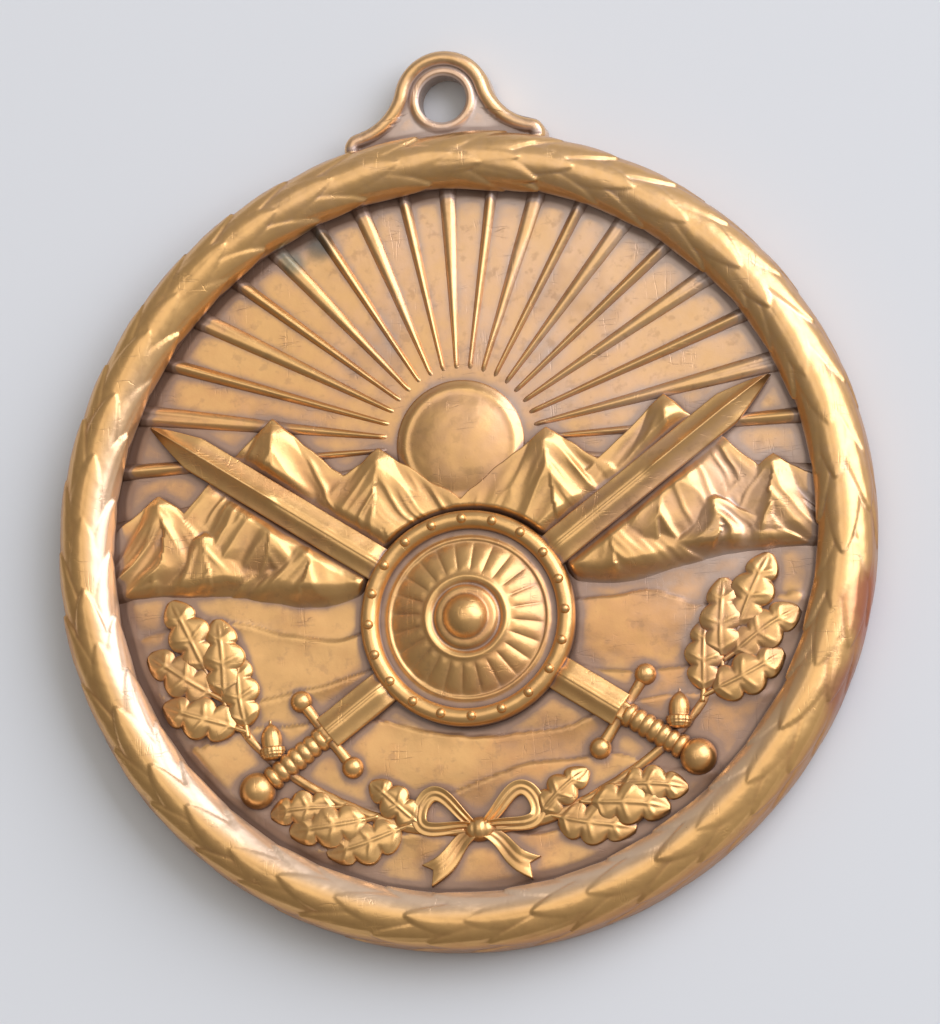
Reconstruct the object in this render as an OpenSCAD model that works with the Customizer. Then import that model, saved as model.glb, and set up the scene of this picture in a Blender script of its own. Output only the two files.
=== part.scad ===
// Service medal: a bronze disc with a laurel border, a relief on its obverse and a
// pierced lug for the suspension ring.
// Lengths are in millimetres. The medal lies on its back: +Z points up out of the
// obverse, +Y runs from the disc's middle towards the lug, and the origin is on the
// disc's axis, in the plane of the rim that the medal rests on.

/* [Disc] */
// Diameter of the disc
medal_d = 36; // [34:0.5:40]
// Thickness from the reverse rim to the obverse field
disc_t = 1.3; // [1.1:0.05:1.6]
// Radius that rounds the corners of the disc's edge
edge_r = 0.3; // [0.15:0.05:0.4]
// Width of the raised rim round the reverse
rim_w = 1.2; // [0.8:0.1:2]
// Depth of the plain reverse field inside that rim
rim_h = 0.25; // [0.15:0.05:0.4]

/* [Laurel wreath] */
// Width of the wreath, leaves included
wreath_w = 2.7; // [2.4:0.1:3.1]
// Height of the wreath's centre line above the obverse field
wreath_rise = 0.35; // [0.2:0.05:0.5]
// Margin between the leaves and the disc's outer edge
wreath_margin = 0.05; // [0.03:0.01:0.2]
// Number of whorls, each of three leaves side by side
whorls = 38; // [32:1:44]
// Length of a laurel leaf
leaf_l = 4.6; // [3.8:0.1:5.4]
// Width of a laurel leaf
leaf_w = 1.45; // [1.2:0.05:1.7]
// Thickness of a leaf where its tip stands off the stem
leaf_h = 0.3; // [0.2:0.01:0.34]
// Angle round the stem between two rows of leaves, in degrees
row_angle = 56; // [48:1:62]

/* [Suspension lug] */
// Diameter of the hole for the suspension ring
hole_d = 2.1; // [1.6:0.1:2.4]
// Distance from the disc's edge to the middle of the hole
hole_reach = 1.5; // [1.4:0.1:2]
// Thickness of the lug's plate
lug_t = 1.2; // [0.9:0.05:1.4]
// Height of the plate's back above the resting plane
lug_z = 0.2; // [0.1:0.05:0.3]
// Width of the lug's round head
head_w = 4.3; // [4:0.1:4.8]
// Distance between the middles of the two feet
foot_span = 7.5; // [7:0.1:8.4]
// Radius of a foot
foot_r = 0.7; // [0.5:0.05:0.9]
// Radius of the hollow curve between head and foot
flare_r = 2.4; // [2:0.1:3]
// Width of the raised bead that follows the lug's outline
bead_w = 0.52; // [0.4:0.02:0.6]
// Width of the raised collar round the hole
collar_w = 0.35; // [0.25:0.05:0.4]
// Height of that collar above the plate
collar_h = 0.2; // [0.1:0.05:0.3]

/* [Sun and rays] */
// Diameter of the sun
sun_d = 5.6; // [4:0.2:6.4]
// Distance from the disc's middle up to the sun's middle
sun_y = 4.2; // [3.4:0.2:5.4]
// Height of the sun's domed face
sun_h = 0.55; // [0.35:0.05:0.8]
// Number of rays
rays = 21; // [13:2:31]
// Width of a ray where it meets the field's edge
ray_w = 1.15; // [0.7:0.05:1.4]
// Height of a ray
ray_h = 0.3; // [0.15:0.05:0.45]
// Gap between the sun's edge and the rays
ray_gap = 0.45; // [0.3:0.05:0.8]

/* [Mountains] */
// Height of the tallest mountain above the foot of the range
peak_h = 7.4; // [6.6:0.1:7.6]
// Height of the tallest summit's relief
summit_h = 0.75; // [0.5:0.05:0.9]
// Thickness of the range along its skyline
skyline_h = 0.35; // [0.25:0.05:0.45]
// Distance from the disc's middle down to the foot of the range
range_foot = 1.4; // [1:0.1:1.6]

/* [Crossed swords] */
// Slope of each sword, in degrees
sword_slope = 35; // [33:1:37]
// Width of a blade
blade_w = 1.5; // [1.2:0.05:1.8]
// Height of a blade's middle ridge
blade_h = 0.75; // [0.5:0.05:0.9]
// Length of a blade's tapered point
point_l = 2.4; // [1.6:0.1:3]
// Length of a grip
grip_l = 3; // [2.6:0.1:3.4]
// Diameter of a grip
grip_d = 1.15; // [1:0.05:1.3]
// Length of a guard from end to end
guard_l = 3.7; // [3.2:0.1:4]
// Diameter of a guard's bar
guard_d = 0.75; // [0.6:0.05:0.9]
// Diameter of a pommel
pommel_d = 1.7; // [1.5:0.1:1.9]

/* [Shield] */
// Diameter of the shield
shield_d = 9.4; // [8.4:0.2:10]
// Distance from the disc's middle down to the shield's middle
shield_y = 3.5; // [3.1:0.1:3.9]
// Height of the shield's dome, without its boss
dome_h = 1.05; // [0.9:0.05:1.15]
// Width of the shield's rounded rim
shield_rim_w = 0.8; // [0.6:0.05:1]
// Height of that rim
shield_rim_h = 0.8; // [0.65:0.05:0.9]
// Diameter of the boss
boss_d = 2.2; // [1.8:0.1:2.6]
// Number of rivets on the rim
rivets = 20; // [12:2:26]
// Diameter of a rivet
rivet_d = 0.44; // [0.3:0.02:0.5]

/* [Oak sprays and ribbon] */
// Thickness of a stem
stem_d = 0.6; // [0.4:0.05:0.75]
// Length of an oak leaf
oak_l = 3.5; // [3:0.1:3.8]
// Width of an oak leaf
oak_w = 2; // [1.6:0.1:2.2]
// Height of an oak leaf at its crown
oak_h = 0.6; // [0.4:0.05:0.75]
// Diameter of an acorn
acorn_d = 1.15; // [0.9:0.05:1.3]
// Width of one loop of the ribbon's bow
loop_w = 2.2; // [1.8:0.1:2.4]
// Length of one loop
loop_l = 3.1; // [2.7:0.1:3.3]
// Width of the ribbon
ribbon_w = 0.62; // [0.5:0.02:0.7]
// Height of the ribbon
ribbon_h = 0.5; // [0.35:0.05:0.6]
// Length of a tail of the ribbon
tail_l = 3.1; // [2.6:0.1:3.3]
// Width of the bow's knot
knot_w = 1.5; // [1.2:0.1:1.7]

/* [Hidden] */
bronze = [0.72, 0.52, 0.28];
pale_bronze = [0.79, 0.60, 0.34];
dark_bronze = [0.55, 0.39, 0.24];

medal_r = medal_d / 2;
// How far a tool that cuts runs past what it cuts
past = 1;
// Gap between a motif and a motif laid over it
lap = 0.04;
// Gap between the relief and the wreath
relief_gap = 0.15;

// Wreath: a stem of round section on a ring, with leaves laid round it
tube_r = wreath_w / 2;
stem_r = tube_r - leaf_h;
ring_r = medal_r - wreath_margin - tube_r;
ring_z = disc_t + wreath_rise;
// Radius that the relief has to keep inside
relief_r = ring_r - tube_r - relief_gap;

// Lug: a round head, two feet centred on the disc's edge, and hollow flanks tangent to both
hole_y = medal_r + hole_reach;
head_r = head_w / 2;
foot_x = foot_span / 2;
foot_y = sqrt(medal_r * medal_r - foot_x * foot_x);
bead_r = bead_w / 2;
// Ledge between the bead and the outline
bead_ledge = 0.04;
bead_inset = bead_r + bead_ledge;

// Swords: where a line through the shield's middle meets a circle about the disc's middle
tip_t = reach(sword_slope, relief_r - 0.1);
pommel_t = reach(180 + sword_slope, relief_r - pommel_d / 2 - 0.2);
guard_t = pommel_t - pommel_d / 2 - grip_l;
guard_ball_d = guard_d * 1.35;
shield_r = shield_d / 2;

// Distance from the shield's middle, along a direction, to the circle of radius r
function reach(a, r) =
    shield_y * sin(a) + sqrt(pow(shield_y * sin(a), 2) + r * r - shield_y * shield_y);

function unit(v) = v / norm(v);
function bearing(v) = atan2(v[1], v[0]);
function lerp(a, b, u) = a + (b - a) * u;

// ---- Shared shapes ----

// A closed skin over rings of equal length, with a flat cap on each end
module loft(rings) {
    n = len(rings[0]);
    m = len(rings);
    polyhedron(
        [for (ring = rings) each ring],
        [
            [for (j = [n - 1 : -1 : 0]) j],
            for (i = [0 : m - 2], j = [0 : n - 1]) each [
                [i * n + j, i * n + (j + 1) % n, (i + 1) * n + j],
                [i * n + (j + 1) % n, (i + 1) * n + (j + 1) % n, (i + 1) * n + j]
            ],
            [for (j = [0 : n - 1]) (m - 1) * n + j]
        ]);
}

// ---- Disc ----

// Half section of the disc: a slab with rounded corners and a sunk back
module disc_section() {
    difference() {
        union() {
            square([medal_r - edge_r, disc_t]);
            translate([0, edge_r]) square([medal_r, disc_t - 2 * edge_r]);
            for (z = [edge_r, disc_t - edge_r])
                translate([medal_r - edge_r, z]) circle(edge_r, $fn = 48);
        }
        translate([-past, -past]) square([past + medal_r - rim_w, past + rim_h]);
    }
}

module medal_disc() {
    color(bronze) rotate_extrude($fn = 180) disc_section();
}

// ---- Laurel wreath ----

// A point s degrees round the ring and p degrees round the stem, h above the stem's surface
function on_stem(s, p, h) = [
    (ring_r + (stem_r + h) * cos(p)) * cos(s),
    (ring_r + (stem_r + h) * cos(p)) * sin(s),
    ring_z + (stem_r + h) * sin(p)
];

// Stations along a laurel leaf: share of its length, of its half width and of its height
LAUREL = [[0, 0.35, 0], [0.4, 1, 0.6], [0.78, 0.7, 1], [1, 0.08, 0.95]];
// Height of a leaf's edge as a share of its midrib's
leaf_edge = 0.25;
// How deep a leaf is rooted in the stem
leaf_root = 0.4;
deg_along = 180 / (PI * ring_r);
deg_round = 180 / (PI * stem_r);

// One leaf that starts s degrees round the ring and p degrees round the stem, and turns
// by splay degrees round the stem on its way to the tip
module laurel_leaf(s, p, splay, size) {
    along = -leaf_l * size * deg_along;
    across = leaf_w / 2 * size * deg_round;
    points = [for (k = LAUREL) each [
        on_stem(s + along * k[0], p + splay * k[0], leaf_h * k[2]),
        for (side = [-1, 1]) each [
            on_stem(s + along * k[0], p + splay * k[0] + side * across * k[1],
                    leaf_h * k[2] * leaf_edge),
            on_stem(s + along * k[0], p + splay * k[0] + side * across * k[1] * 0.7, -leaf_root)
        ]
    ]];
    hull() polyhedron(points, [[for (i = [0 : len(points) - 1]) i]]);
}

module laurel_wreath() {
    pitch = 360 / whorls;
    // Each leaf differs a little from the next, as on a hand-cut die
    size = rands(0.92, 1.08, 3 * whorls, 7);
    turn = rands(-4, 4, 3 * whorls, 11);
    color(pale_bronze) difference() {
        union() {
            rotate_extrude($fn = 2 * whorls)
                translate([ring_r, ring_z]) circle(stem_r, $fn = 16);
            for (i = [0 : whorls - 1], row = [-1 : 1]) {
                k = 3 * i + row + 1;
                // The middle leaf of a whorl starts half a pitch before its neighbours
                start = 90 - (i + (row == 0 ? 0.5 : 0)) * pitch;
                laurel_leaf(start, 90 + row * (row_angle - 6) + turn[k], row * 13, size[k]);
            }
        }
        translate([0, 0, disc_t - wreath_w]) cylinder(h = wreath_w, r = medal_r + past);
    }
}

// ---- Suspension lug ----

HEAD = [0, hole_y];
FOOT = [foot_x, foot_y];

// Middle of the hollow flank: tangent from outside to the head and to the foot
function flank_middle() =
    let (line = FOOT - HEAD, d = norm(line), e = line / d,
         to_head = head_r + flare_r, to_foot = foot_r + flare_r,
         a = (to_head * to_head - to_foot * to_foot + d * d) / (2 * d),
         b = sqrt(to_head * to_head - a * a))
    HEAD + a * e + b * [-e[1], e[0]];

FLANK = flank_middle();
AT_HEAD = HEAD + head_r * unit(FLANK - HEAD);
AT_FOOT = FOOT + foot_r * unit(FLANK - FOOT);

// Points along an arc about a middle, from one bearing to another
function arc(middle, r, from, to, steps) =
    [for (i = [0 : steps]) let (a = lerp(from, to, i / steps)) middle + r * [cos(a), sin(a)]];

// Right half of the lug's outline, moved in by inset: from the foot up to the head's crown
function lug_half(inset) =
    let (head_from = bearing(FLANK - HEAD), foot_to = bearing(FLANK - FOOT),
         foot = arc(FOOT, foot_r - inset, -70, foot_to, 6),
         flank = arc(FLANK, flare_r + inset, 180 + foot_to, 180 + head_from, 7),
         head = arc(HEAD, head_r - inset, head_from, 90, 8))
    concat(foot, [for (i = [1 : 7]) flank[i]], [for (i = [1 : 8]) head[i]]);

// The whole outline, from the right foot over the head to the left foot
function lug_line(inset) =
    let (right = lug_half(inset), n = len(right))
    concat(right, [for (i = [n - 2 : -1 : 0]) [-right[i][0], right[i][1]]]);

// A round bead swept along a line in the plane of the plate's face, sunk a little into it
module bead(line) {
    n = len(line);
    sunk = 0.1;
    loft([for (i = [0 : n - 1])
        let (ahead = line[min(i + 1, n - 1)] - line[max(i - 1, 0)], out = [ahead[1], -ahead[0]] / norm(ahead))
        [
            for (a = [0, 60, 120, 180])
                concat(line[i] + bead_r * cos(a) * out, lug_z + lug_t + bead_r * sin(a)),
            concat(line[i] - bead_r * out, lug_z + lug_t - sunk),
            concat(line[i] + bead_r * out, lug_z + lug_t - sunk)
        ]]);
}

module suspension_lug() {
    collar_r = hole_d / 2 + collar_w;
    color(bronze) difference() {
        union() {
            translate([0, 0, lug_z]) linear_extrude(lug_t) polygon(lug_line(0));
            bead(lug_line(bead_inset));
            translate([0, hole_y, lug_z]) cylinder(h = lug_t + collar_h, r = collar_r, $fn = 72);
        }
        // The lug's lower edge is the disc's own circle
        translate([0, 0, -past]) cylinder(h = lug_z + lug_t + 2 * past, r = medal_r, $fn = 180);
        translate([0, hole_y, -past])
            cylinder(h = lug_z + lug_t + 2 * past, d = hole_d, $fn = 72);
    }
}

// ---- Footprints that the motifs behind give way to ----

module shield_footprint() {
    translate([0, -shield_y]) circle(shield_r + lap, $fn = 96);
}

module sword_footprint() {
    translate([0, -shield_y]) rotate(sword_slope) {
        polygon([[0, -blade_w / 2 - lap], [tip_t - point_l, -blade_w / 2 - lap],
                 [tip_t + lap, 0], [tip_t - point_l, blade_w / 2 + lap],
                 [0, blade_w / 2 + lap]]);
        translate([-pommel_t, -grip_d / 2 - lap]) square([pommel_t, grip_d + 2 * lap]);
        translate([-pommel_t, 0]) circle(pommel_d / 2 + lap, $fn = 48);
        translate([-guard_t, 0])
            square([guard_ball_d + 2 * lap, guard_l + guard_ball_d + 2 * lap], center = true);
    }
}

// Summits from left to right: place and half width as shares of the relief's radius, height
// above the foot of the range as a share of the tallest's, share of the full relief
SUMMITS = [
    [-0.888, 0.396, 0.595, 0.8], [-0.543, 0.53, 1, 1], [-0.238, 0.53, 0.77, 0.85],
    [0.252, 0.556, 0.81, 0.9], [0.596, 0.53, 0.946, 1], [0.9, 0.396, 0.54, 0.8]
];

module range_outline() {
    for (m = SUMMITS) {
        x = m[0] * relief_r;
        half_w = m[1] * relief_r;
        polygon([[x - half_w, -range_foot], [x + half_w, -range_foot],
                 [x, m[2] * peak_h - range_foot]]);
    }
}

// Keeps its children to the relief's circle, and out of what lies over them
module behind_shield_and_swords() {
    difference() {
        intersection() {
            children();
            translate([0, 0, disc_t]) cylinder(h = wreath_w, r = relief_r, $fn = 180);
        }
        translate([0, 0, disc_t - past]) linear_extrude(wreath_w + past) {
            shield_footprint();
            for (side = [0, 1]) mirror([side, 0]) sword_footprint();
        }
    }
}

// ---- Sun and rays ----

module sun_disc() {
    dome_r = (sun_d * sun_d / 4 + sun_h * sun_h) / (2 * sun_h);
    color(pale_bronze) difference() {
        intersection() {
            translate([0, sun_y, disc_t + sun_h - dome_r]) sphere(dome_r, $fn = 180);
            translate([0, sun_y, disc_t]) cylinder(h = sun_h + past, d = sun_d, $fn = 96);
        }
        translate([0, 0, disc_t - past]) linear_extrude(sun_h + 2 * past) offset(lap)
            range_outline();
    }
}

// Angle between the first and the last ray
ray_spread = 200;
// Length and width of the two kinds of ray, as shares of a full ray's
BROAD_RAY = [1, 1.5];
SLIGHT_RAY = [0.62, 0.7];

// One ray from the sun's edge outwards: a ridge that widens and rises as it goes
module ray(length, width) {
    root = ray_w * 0.1;
    hull() polyhedron([
        [0, -root, 0], [0, root, 0], [0, 0, ray_h / 2],
        [length, -width / 2, 0], [length, width / 2, 0], [length, 0, ray_h]
    ], [[0, 1, 2, 3, 4, 5]]);
}

module sun_rays() {
    color(bronze) difference() {
        behind_shield_and_swords()
            for (i = [0 : rays - 1]) {
                a = 90 - ray_spread / 2 + ray_spread * i / (rays - 1);
                // Every other ray is slighter
                share = i % 2 == 0 ? BROAD_RAY : SLIGHT_RAY;
                translate([0, sun_y, disc_t]) rotate(a) translate([sun_d / 2 + ray_gap, 0, 0])
                    ray(share[0] * (relief_r + sun_y), share[1] * ray_w);
            }
        translate([0, 0, disc_t - past]) linear_extrude(ray_h + 2 * past) offset(lap)
            range_outline();
    }
}

// ---- Mountain range ----

// A mountain: a skyline edge, and a ridge that comes forward from the summit
module mountain(x, foot, top, half_w, share) {
    h = summit_h * share;
    translate([x, foot, 0]) hull() polyhedron([
        [-half_w, 0, 0], [half_w, 0, 0], [0, top, 0], [0, top, skyline_h],
        [-half_w * 0.45, top * 0.5, skyline_h], [half_w * 0.42, top * 0.55, skyline_h],
        [half_w * 0.1, top * 0.62, h], [-half_w * 0.06, top * 0.3, h * 0.8]
    ], [[0, 1, 2, 3, 4, 5, 6, 7]]);
}

// Foothills: place and half width as shares of the relief's radius, how far their foot lies
// in front of the range's and their height as shares of the tallest mountain's height
FOOTHILLS = [[-0.755, 0.265, 0, 0.35], [-0.45, 0.29, 0.12, 0.486],
             [0.43, 0.305, 0.12, 0.486], [0.728, 0.265, 0, 0.325]];
foothill_share = 0.75;

module mountain_range() {
    color(dark_bronze) behind_shield_and_swords() translate([0, 0, disc_t]) {
        for (m = SUMMITS)
            mountain(m[0] * relief_r, -range_foot, m[2] * peak_h, m[1] * relief_r, m[3]);
        for (m = FOOTHILLS)
            mountain(m[0] * relief_r, -range_foot - m[2] * peak_h, m[3] * peak_h,
                     m[1] * relief_r, foothill_share);
    }
}

// ---- Crossed swords ----

// A sword along +X through the shield's middle, its hilt on the -X side
module sword() {
    grip_r = grip_d / 2;
    blade = [for (side = [-1, 1]) each [
        [-guard_t, side * blade_w / 2, 0], [tip_t - point_l, side * blade_w / 2, 0]
    ]];
    color(pale_bronze) translate([0, -shield_y, disc_t]) rotate(sword_slope) difference() {
        union() {
            hull() polyhedron(concat(blade, [
                [-guard_t, 0, blade_h], [tip_t - point_l, 0, blade_h * 0.9], [tip_t, 0, 0],
                [tip_t, 0, blade_h * 0.25]
            ]), [[0, 1, 2, 3, 4, 5, 6, 7]]);
            // Grip with a ring at each turn of its wire
            translate([-pommel_t, 0, 0]) rotate([0, 90, 0]) {
                cylinder(h = grip_l + pommel_d / 2, r = grip_r * 0.86, $fn = 48);
                for (k = [0 : 4]) translate([0, 0, pommel_d / 2 + grip_l * (k + 0.5) / 5])
                    rotate_extrude($fn = 48) translate([grip_r * 0.72, 0]) circle(grip_r * 0.28, $fn = 24);
            }
            translate([-pommel_t, 0, 0]) sphere(d = pommel_d, $fn = 48);
            // Guard with a ball at each end
            translate([-guard_t, -guard_l / 2, 0]) rotate([-90, 0, 0])
                cylinder(h = guard_l, d = guard_d, $fn = 36);
            for (side = [-1, 1]) translate([-guard_t, side * guard_l / 2, 0])
                sphere(d = guard_ball_d, $fn = 36);
        }
        // Flat on the field, and out of the way of the shield that lies over it
        translate([-pommel_t - pommel_d, -guard_l, -pommel_d])
            cube([tip_t + pommel_t + 2 * pommel_d, 2 * guard_l, pommel_d]);
        translate([0, 0, -past]) cylinder(h = 2 * past + pommel_d, r = shield_r + lap, $fn = 96);
    }
}

// The left sword is the one whose hilt is on the left
module sword_left() { sword(); }
module sword_right() { mirror([1, 0, 0]) sword(); }

// ---- Round shield ----

// Half section: a round rim, a hollow inside it, and the dome
module shield_section() {
    rim_r = shield_rim_w / 2;
    inner = shield_r - shield_rim_w;
    dome_r = (inner * inner + dome_h * dome_h) / (2 * dome_h);
    intersection() {
        square([shield_r, wreath_w]);
        union() {
            translate([shield_r - rim_r, shield_rim_h - rim_r]) circle(rim_r, $fn = 48);
            translate([shield_r - shield_rim_w, 0]) square([shield_rim_w, shield_rim_h - rim_r]);
            square([inner + 0.1, shield_rim_h * 0.35]);
            translate([0, dome_h - dome_r]) circle(dome_r, $fn = 180);
        }
    }
}

module round_shield() {
    color(pale_bronze) translate([0, -shield_y, disc_t]) {
        difference() {
            union() {
                rotate_extrude($fn = 144) shield_section();
                translate([0, 0, dome_h - boss_d * 0.26]) sphere(d = boss_d, $fn = 72);
            }
            translate([0, 0, -boss_d]) cylinder(h = boss_d, r = shield_r, $fn = 96);
            // A groove round the boss
            translate([0, 0, dome_h]) rotate_extrude($fn = 96)
                translate([boss_d * 0.66, 0]) circle(0.16, $fn = 24);
        }
        for (i = [0 : rivets - 1]) rotate(360 * i / rivets)
            translate([shield_r - shield_rim_w / 2, 0, shield_rim_h - rivet_d * 0.12])
                sphere(d = rivet_d, $fn = 24);
    }
}

// ---- Oak sprays ----

oak_lobes = 3;
oak_steps = 12;
leaf_lean = 30;
leaf_stalk = oak_l * 0.1;
// Distance from the disc's middle to a stem, which leaves room for the leaves outside it
spray_r = relief_r - (oak_l + leaf_stalk) * sin(leaf_lean) - oak_w * 0.275;
// Share of a leaf's length before its crown, and the crown's shares of its length and width
crown_start_share = 0.12;
CROWN_SHARES = [0.76, 0.6];
// Height of a leaf's blade as a share of its crown's
blade_share = 0.6;

// Half width of an oak leaf at a share u of its length: round lobes that shrink to both ends
function oak_half(u) =
    oak_w / 2 * pow(sin(180 * lerp(0.04, 0.97, pow(u, 0.85))), 0.6)
    * (0.8 + 0.2 * cos(360 * (oak_lobes * u - 0.5)));

module oak_outline() {
    polygon([
        for (i = [0 : oak_steps]) let (u = i / oak_steps) [oak_l * u, oak_half(u)],
        for (i = [oak_steps : -1 : 0]) let (u = i / oak_steps) [oak_l * u, -oak_half(u)]
    ]);
}

// An oak leaf along +X from its stalk to its tip: a lobed blade under a raised crown
module oak_leaf(h) {
    linear_extrude(h * blade_share) oak_outline();
    translate([oak_l * crown_start_share, 0, 0]) linear_extrude(h) scale(CROWN_SHARES)
        oak_outline();
}

// Half section of an acorn along its axis: radius and distance from the cup's back
ACORN = [[0, 0], [0.3, 0.04], [0.47, 0.2], [0.5, 0.45], [0.4, 0.52], [0.42, 0.8], [0.36, 1.1],
         [0.2, 1.33], [0.07, 1.42], [0.04, 1.6], [0, 1.6]];

// The upper half of an acorn along +X: a cup, a nut and its point
module acorn() {
    rotate([90, 0, 90]) rotate_extrude(angle = 180, $fn = 36) polygon(acorn_d * ACORN);
}

// Leaves along the left stem: bearing from the disc's middle, side of the stem, size, height
OAK_LEAVES = [[259, -1, 0.8, 0.9], [256, 1, 1, 0.8], [249, 1, 1, 1], [242.5, 1, 0.85, 0.85],
              [218, -1, 0.9, 0.85], [217, 1, 1, 0.95], [210.5, -1, 1, 1], [209, 1, 1, 0.8],
              [204, 0, 1, 0.9]];
// Bearings of the acorn and of the stem's two ends, and the acorn's lean from the stem
acorn_angle = 225.5;
acorn_lean = 42;
stem_start_angle = 266;
stem_end_angle = 203;

// Puts its children on the stem at a bearing, turned towards the stem's tip and off to a side
module on_spray(at, side, lean) {
    rotate(at) translate([spray_r, 0, 0]) rotate(-90 + side * lean) children();
}

// Half-round stem on an arc about the disc's middle
module spray_stem() {
    sweep_angle = stem_start_angle - stem_end_angle;
    rotate(stem_end_angle) rotate_extrude(angle = sweep_angle, $fn = 90) intersection() {
        translate([spray_r, 0]) circle(stem_d / 2, $fn = 24);
        translate([spray_r - stem_d, 0]) square(2 * stem_d);
    }
}

module oak_spray_left() {
    color(pale_bronze) difference() {
        translate([0, 0, disc_t]) {
            spray_stem();
            for (l = OAK_LEAVES) on_spray(l[0], l[1], leaf_lean)
                translate([leaf_stalk, 0, 0]) scale([l[2], l[2], 1]) oak_leaf(oak_h * l[3]);
            on_spray(acorn_angle, -1, acorn_lean) acorn();
        }
        translate([0, 0, disc_t - past]) linear_extrude(wreath_w + past) {
            sword_footprint();
            bow_footprint();
        }
    }
}

module oak_spray_right() { mirror([1, 0, 0]) oak_spray_left(); }

// ---- Ribbon bow ----

bow_y = -spray_r;
// Angles by which the loops rise from the knot and the tails fall from it
loop_lift_angle = 24;
tail_fall_angle = 38;
// Size of a loop's opening as a share of the loop's, and its place in ribbon widths
opening_share = 0.48;
opening_start_share = 1.1;

// A loop of ribbon that leaves the knot to the right and comes back to it
module loop_outline(w) {
    hull() {
        circle(w * 0.22, $fn = 16);
        translate([loop_l - w / 2, 0]) circle(w / 2, $fn = 28);
    }
}

// A tail of ribbon to the lower right, with a notched end
module tail_outline() {
    rotate(-tail_fall_angle) polygon([
        [0, -ribbon_w / 2], [tail_l, -ribbon_w * 0.9], [tail_l - ribbon_w * 0.65, 0],
        [tail_l, ribbon_w * 0.9], [0, ribbon_w / 2]
    ]);
}

module bow_footprint() {
    offset(delta = lap) translate([0, bow_y]) for (side = [0, 1]) mirror([side, 0]) {
        rotate(loop_lift_angle) loop_outline(loop_w);
        tail_outline();
    }
}

module ribbon_bow() {
    color(bronze) intersection() {
        translate([0, bow_y, disc_t]) {
            for (side = [0, 1]) mirror([side, 0, 0]) {
                rotate(loop_lift_angle) linear_extrude(ribbon_h) difference() {
                    loop_outline(loop_w);
                    translate([ribbon_w * opening_start_share, 0]) scale(opening_share)
                        loop_outline(loop_w);
                }
                linear_extrude(ribbon_h * 0.8) tail_outline();
            }
            scale([1, 0.85, 0.9]) sphere(knot_w / 2, $fn = 24);
        }
        translate([0, 0, disc_t]) cylinder(h = wreath_w, r = relief_r, $fn = 180);
    }
}

medal_disc();
laurel_wreath();
suspension_lug();
sun_disc();
sun_rays();
mountain_range();
sword_left();
sword_right();
round_shield();
oak_spray_left();
oak_spray_right();
ribbon_bow();
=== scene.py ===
"""The looks of the service medal: struck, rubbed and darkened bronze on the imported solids.

Shapes are worked out in millimetres, in the frame of the solids, and scaled to metres when
a mesh is finished. Heights of the relief are counted from the obverse field.
"""
import math
from math import pi

import bmesh
import bpy
import numpy as np
from mathutils import Matrix, Vector
from mathutils.bvhtree import BVHTree


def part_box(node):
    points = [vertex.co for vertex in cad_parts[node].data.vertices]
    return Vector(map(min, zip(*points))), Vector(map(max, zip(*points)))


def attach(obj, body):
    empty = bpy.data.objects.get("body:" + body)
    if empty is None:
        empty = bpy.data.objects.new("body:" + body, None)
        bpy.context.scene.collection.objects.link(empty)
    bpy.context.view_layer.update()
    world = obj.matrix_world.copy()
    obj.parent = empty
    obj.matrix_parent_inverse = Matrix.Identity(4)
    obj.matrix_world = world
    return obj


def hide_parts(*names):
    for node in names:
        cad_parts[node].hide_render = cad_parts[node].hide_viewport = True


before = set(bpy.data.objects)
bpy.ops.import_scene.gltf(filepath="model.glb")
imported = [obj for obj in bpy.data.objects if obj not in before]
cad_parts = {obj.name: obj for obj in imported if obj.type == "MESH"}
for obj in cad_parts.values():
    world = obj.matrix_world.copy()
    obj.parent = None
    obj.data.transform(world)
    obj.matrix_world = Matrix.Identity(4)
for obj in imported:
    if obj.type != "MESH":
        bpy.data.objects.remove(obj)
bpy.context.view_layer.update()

MM = 0.001
BODY = "root"
scene = bpy.context.scene


# ---- sizes, from the solids


def box_mm(node):
    low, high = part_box(node)
    return Vector(low) / MM, Vector(high) / MM


disc_high = box_mm("medal_disc")[1]
wreath_high = box_mm("laurel_wreath")[1]
lug_low, lug_high = box_mm("suspension_lug")
sun_high = box_mm("sun_disc")[1]
shield_high = box_mm("round_shield")[1]

DISC_R = disc_high.x
FIELD_Z = disc_high.z

# Wreath: a stem of round section on a ring, with leaves laid round it
TUBE_R = 1.35
LEAF_H = 0.3
STEM_R = TUBE_R - LEAF_H
RING_R = DISC_R - 0.05 - TUBE_R
RING_Z = wreath_high.z - TUBE_R
# The bare field ends where the wreath springs from it; relief that runs on under the
# wreath ends at UNDER_R
FIELD_R = RING_R - TUBE_R
UNDER_R = FIELD_R + 0.45
WHORLS = 38

# Lug
HOLE_R = 1.05
HOLE_Y = DISC_R + 1.5
HEAD_R = lug_high.y - HOLE_Y
PLATE_LOW = lug_low.z
PLATE_HIGH = PLATE_LOW + 1.2
FOOT_X = 3.75
FOOT_R = 0.7
FLARE_R = 2.4

# Relief
SUN_R = sun_high.x
SUN_Y = sun_high.y - SUN_R
SUN_H = sun_high.z - FIELD_Z
SHIELD_R = shield_high.x
SHIELD_Y = shield_high.y - SHIELD_R
SWORD_SLOPE = 35
RANGE_FOOT = -1.4
SKYLINE_H = 0.35
SPRAY_R = 12.625
# How far the rim of a motif runs below the field, where it can't be seen
SUNK = 0.16
# Points closer than this become one
MERGE = 1e-6


# ---- arithmetic on arrays


def unit(x):
    return np.clip(x, 0, 1)


def smooth(low, high, x):
    """0 at low, 1 at high, and an even slope between."""
    t = unit((x - low) / (high - low))
    return t * t * (3 - 2 * t)


def lerp(a, b, t):
    return a + (b - a) * t


def hump(x, middle, width):
    """A bell of height 1 about a middle."""
    return np.exp(-((x - middle) / width) ** 2)


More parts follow.
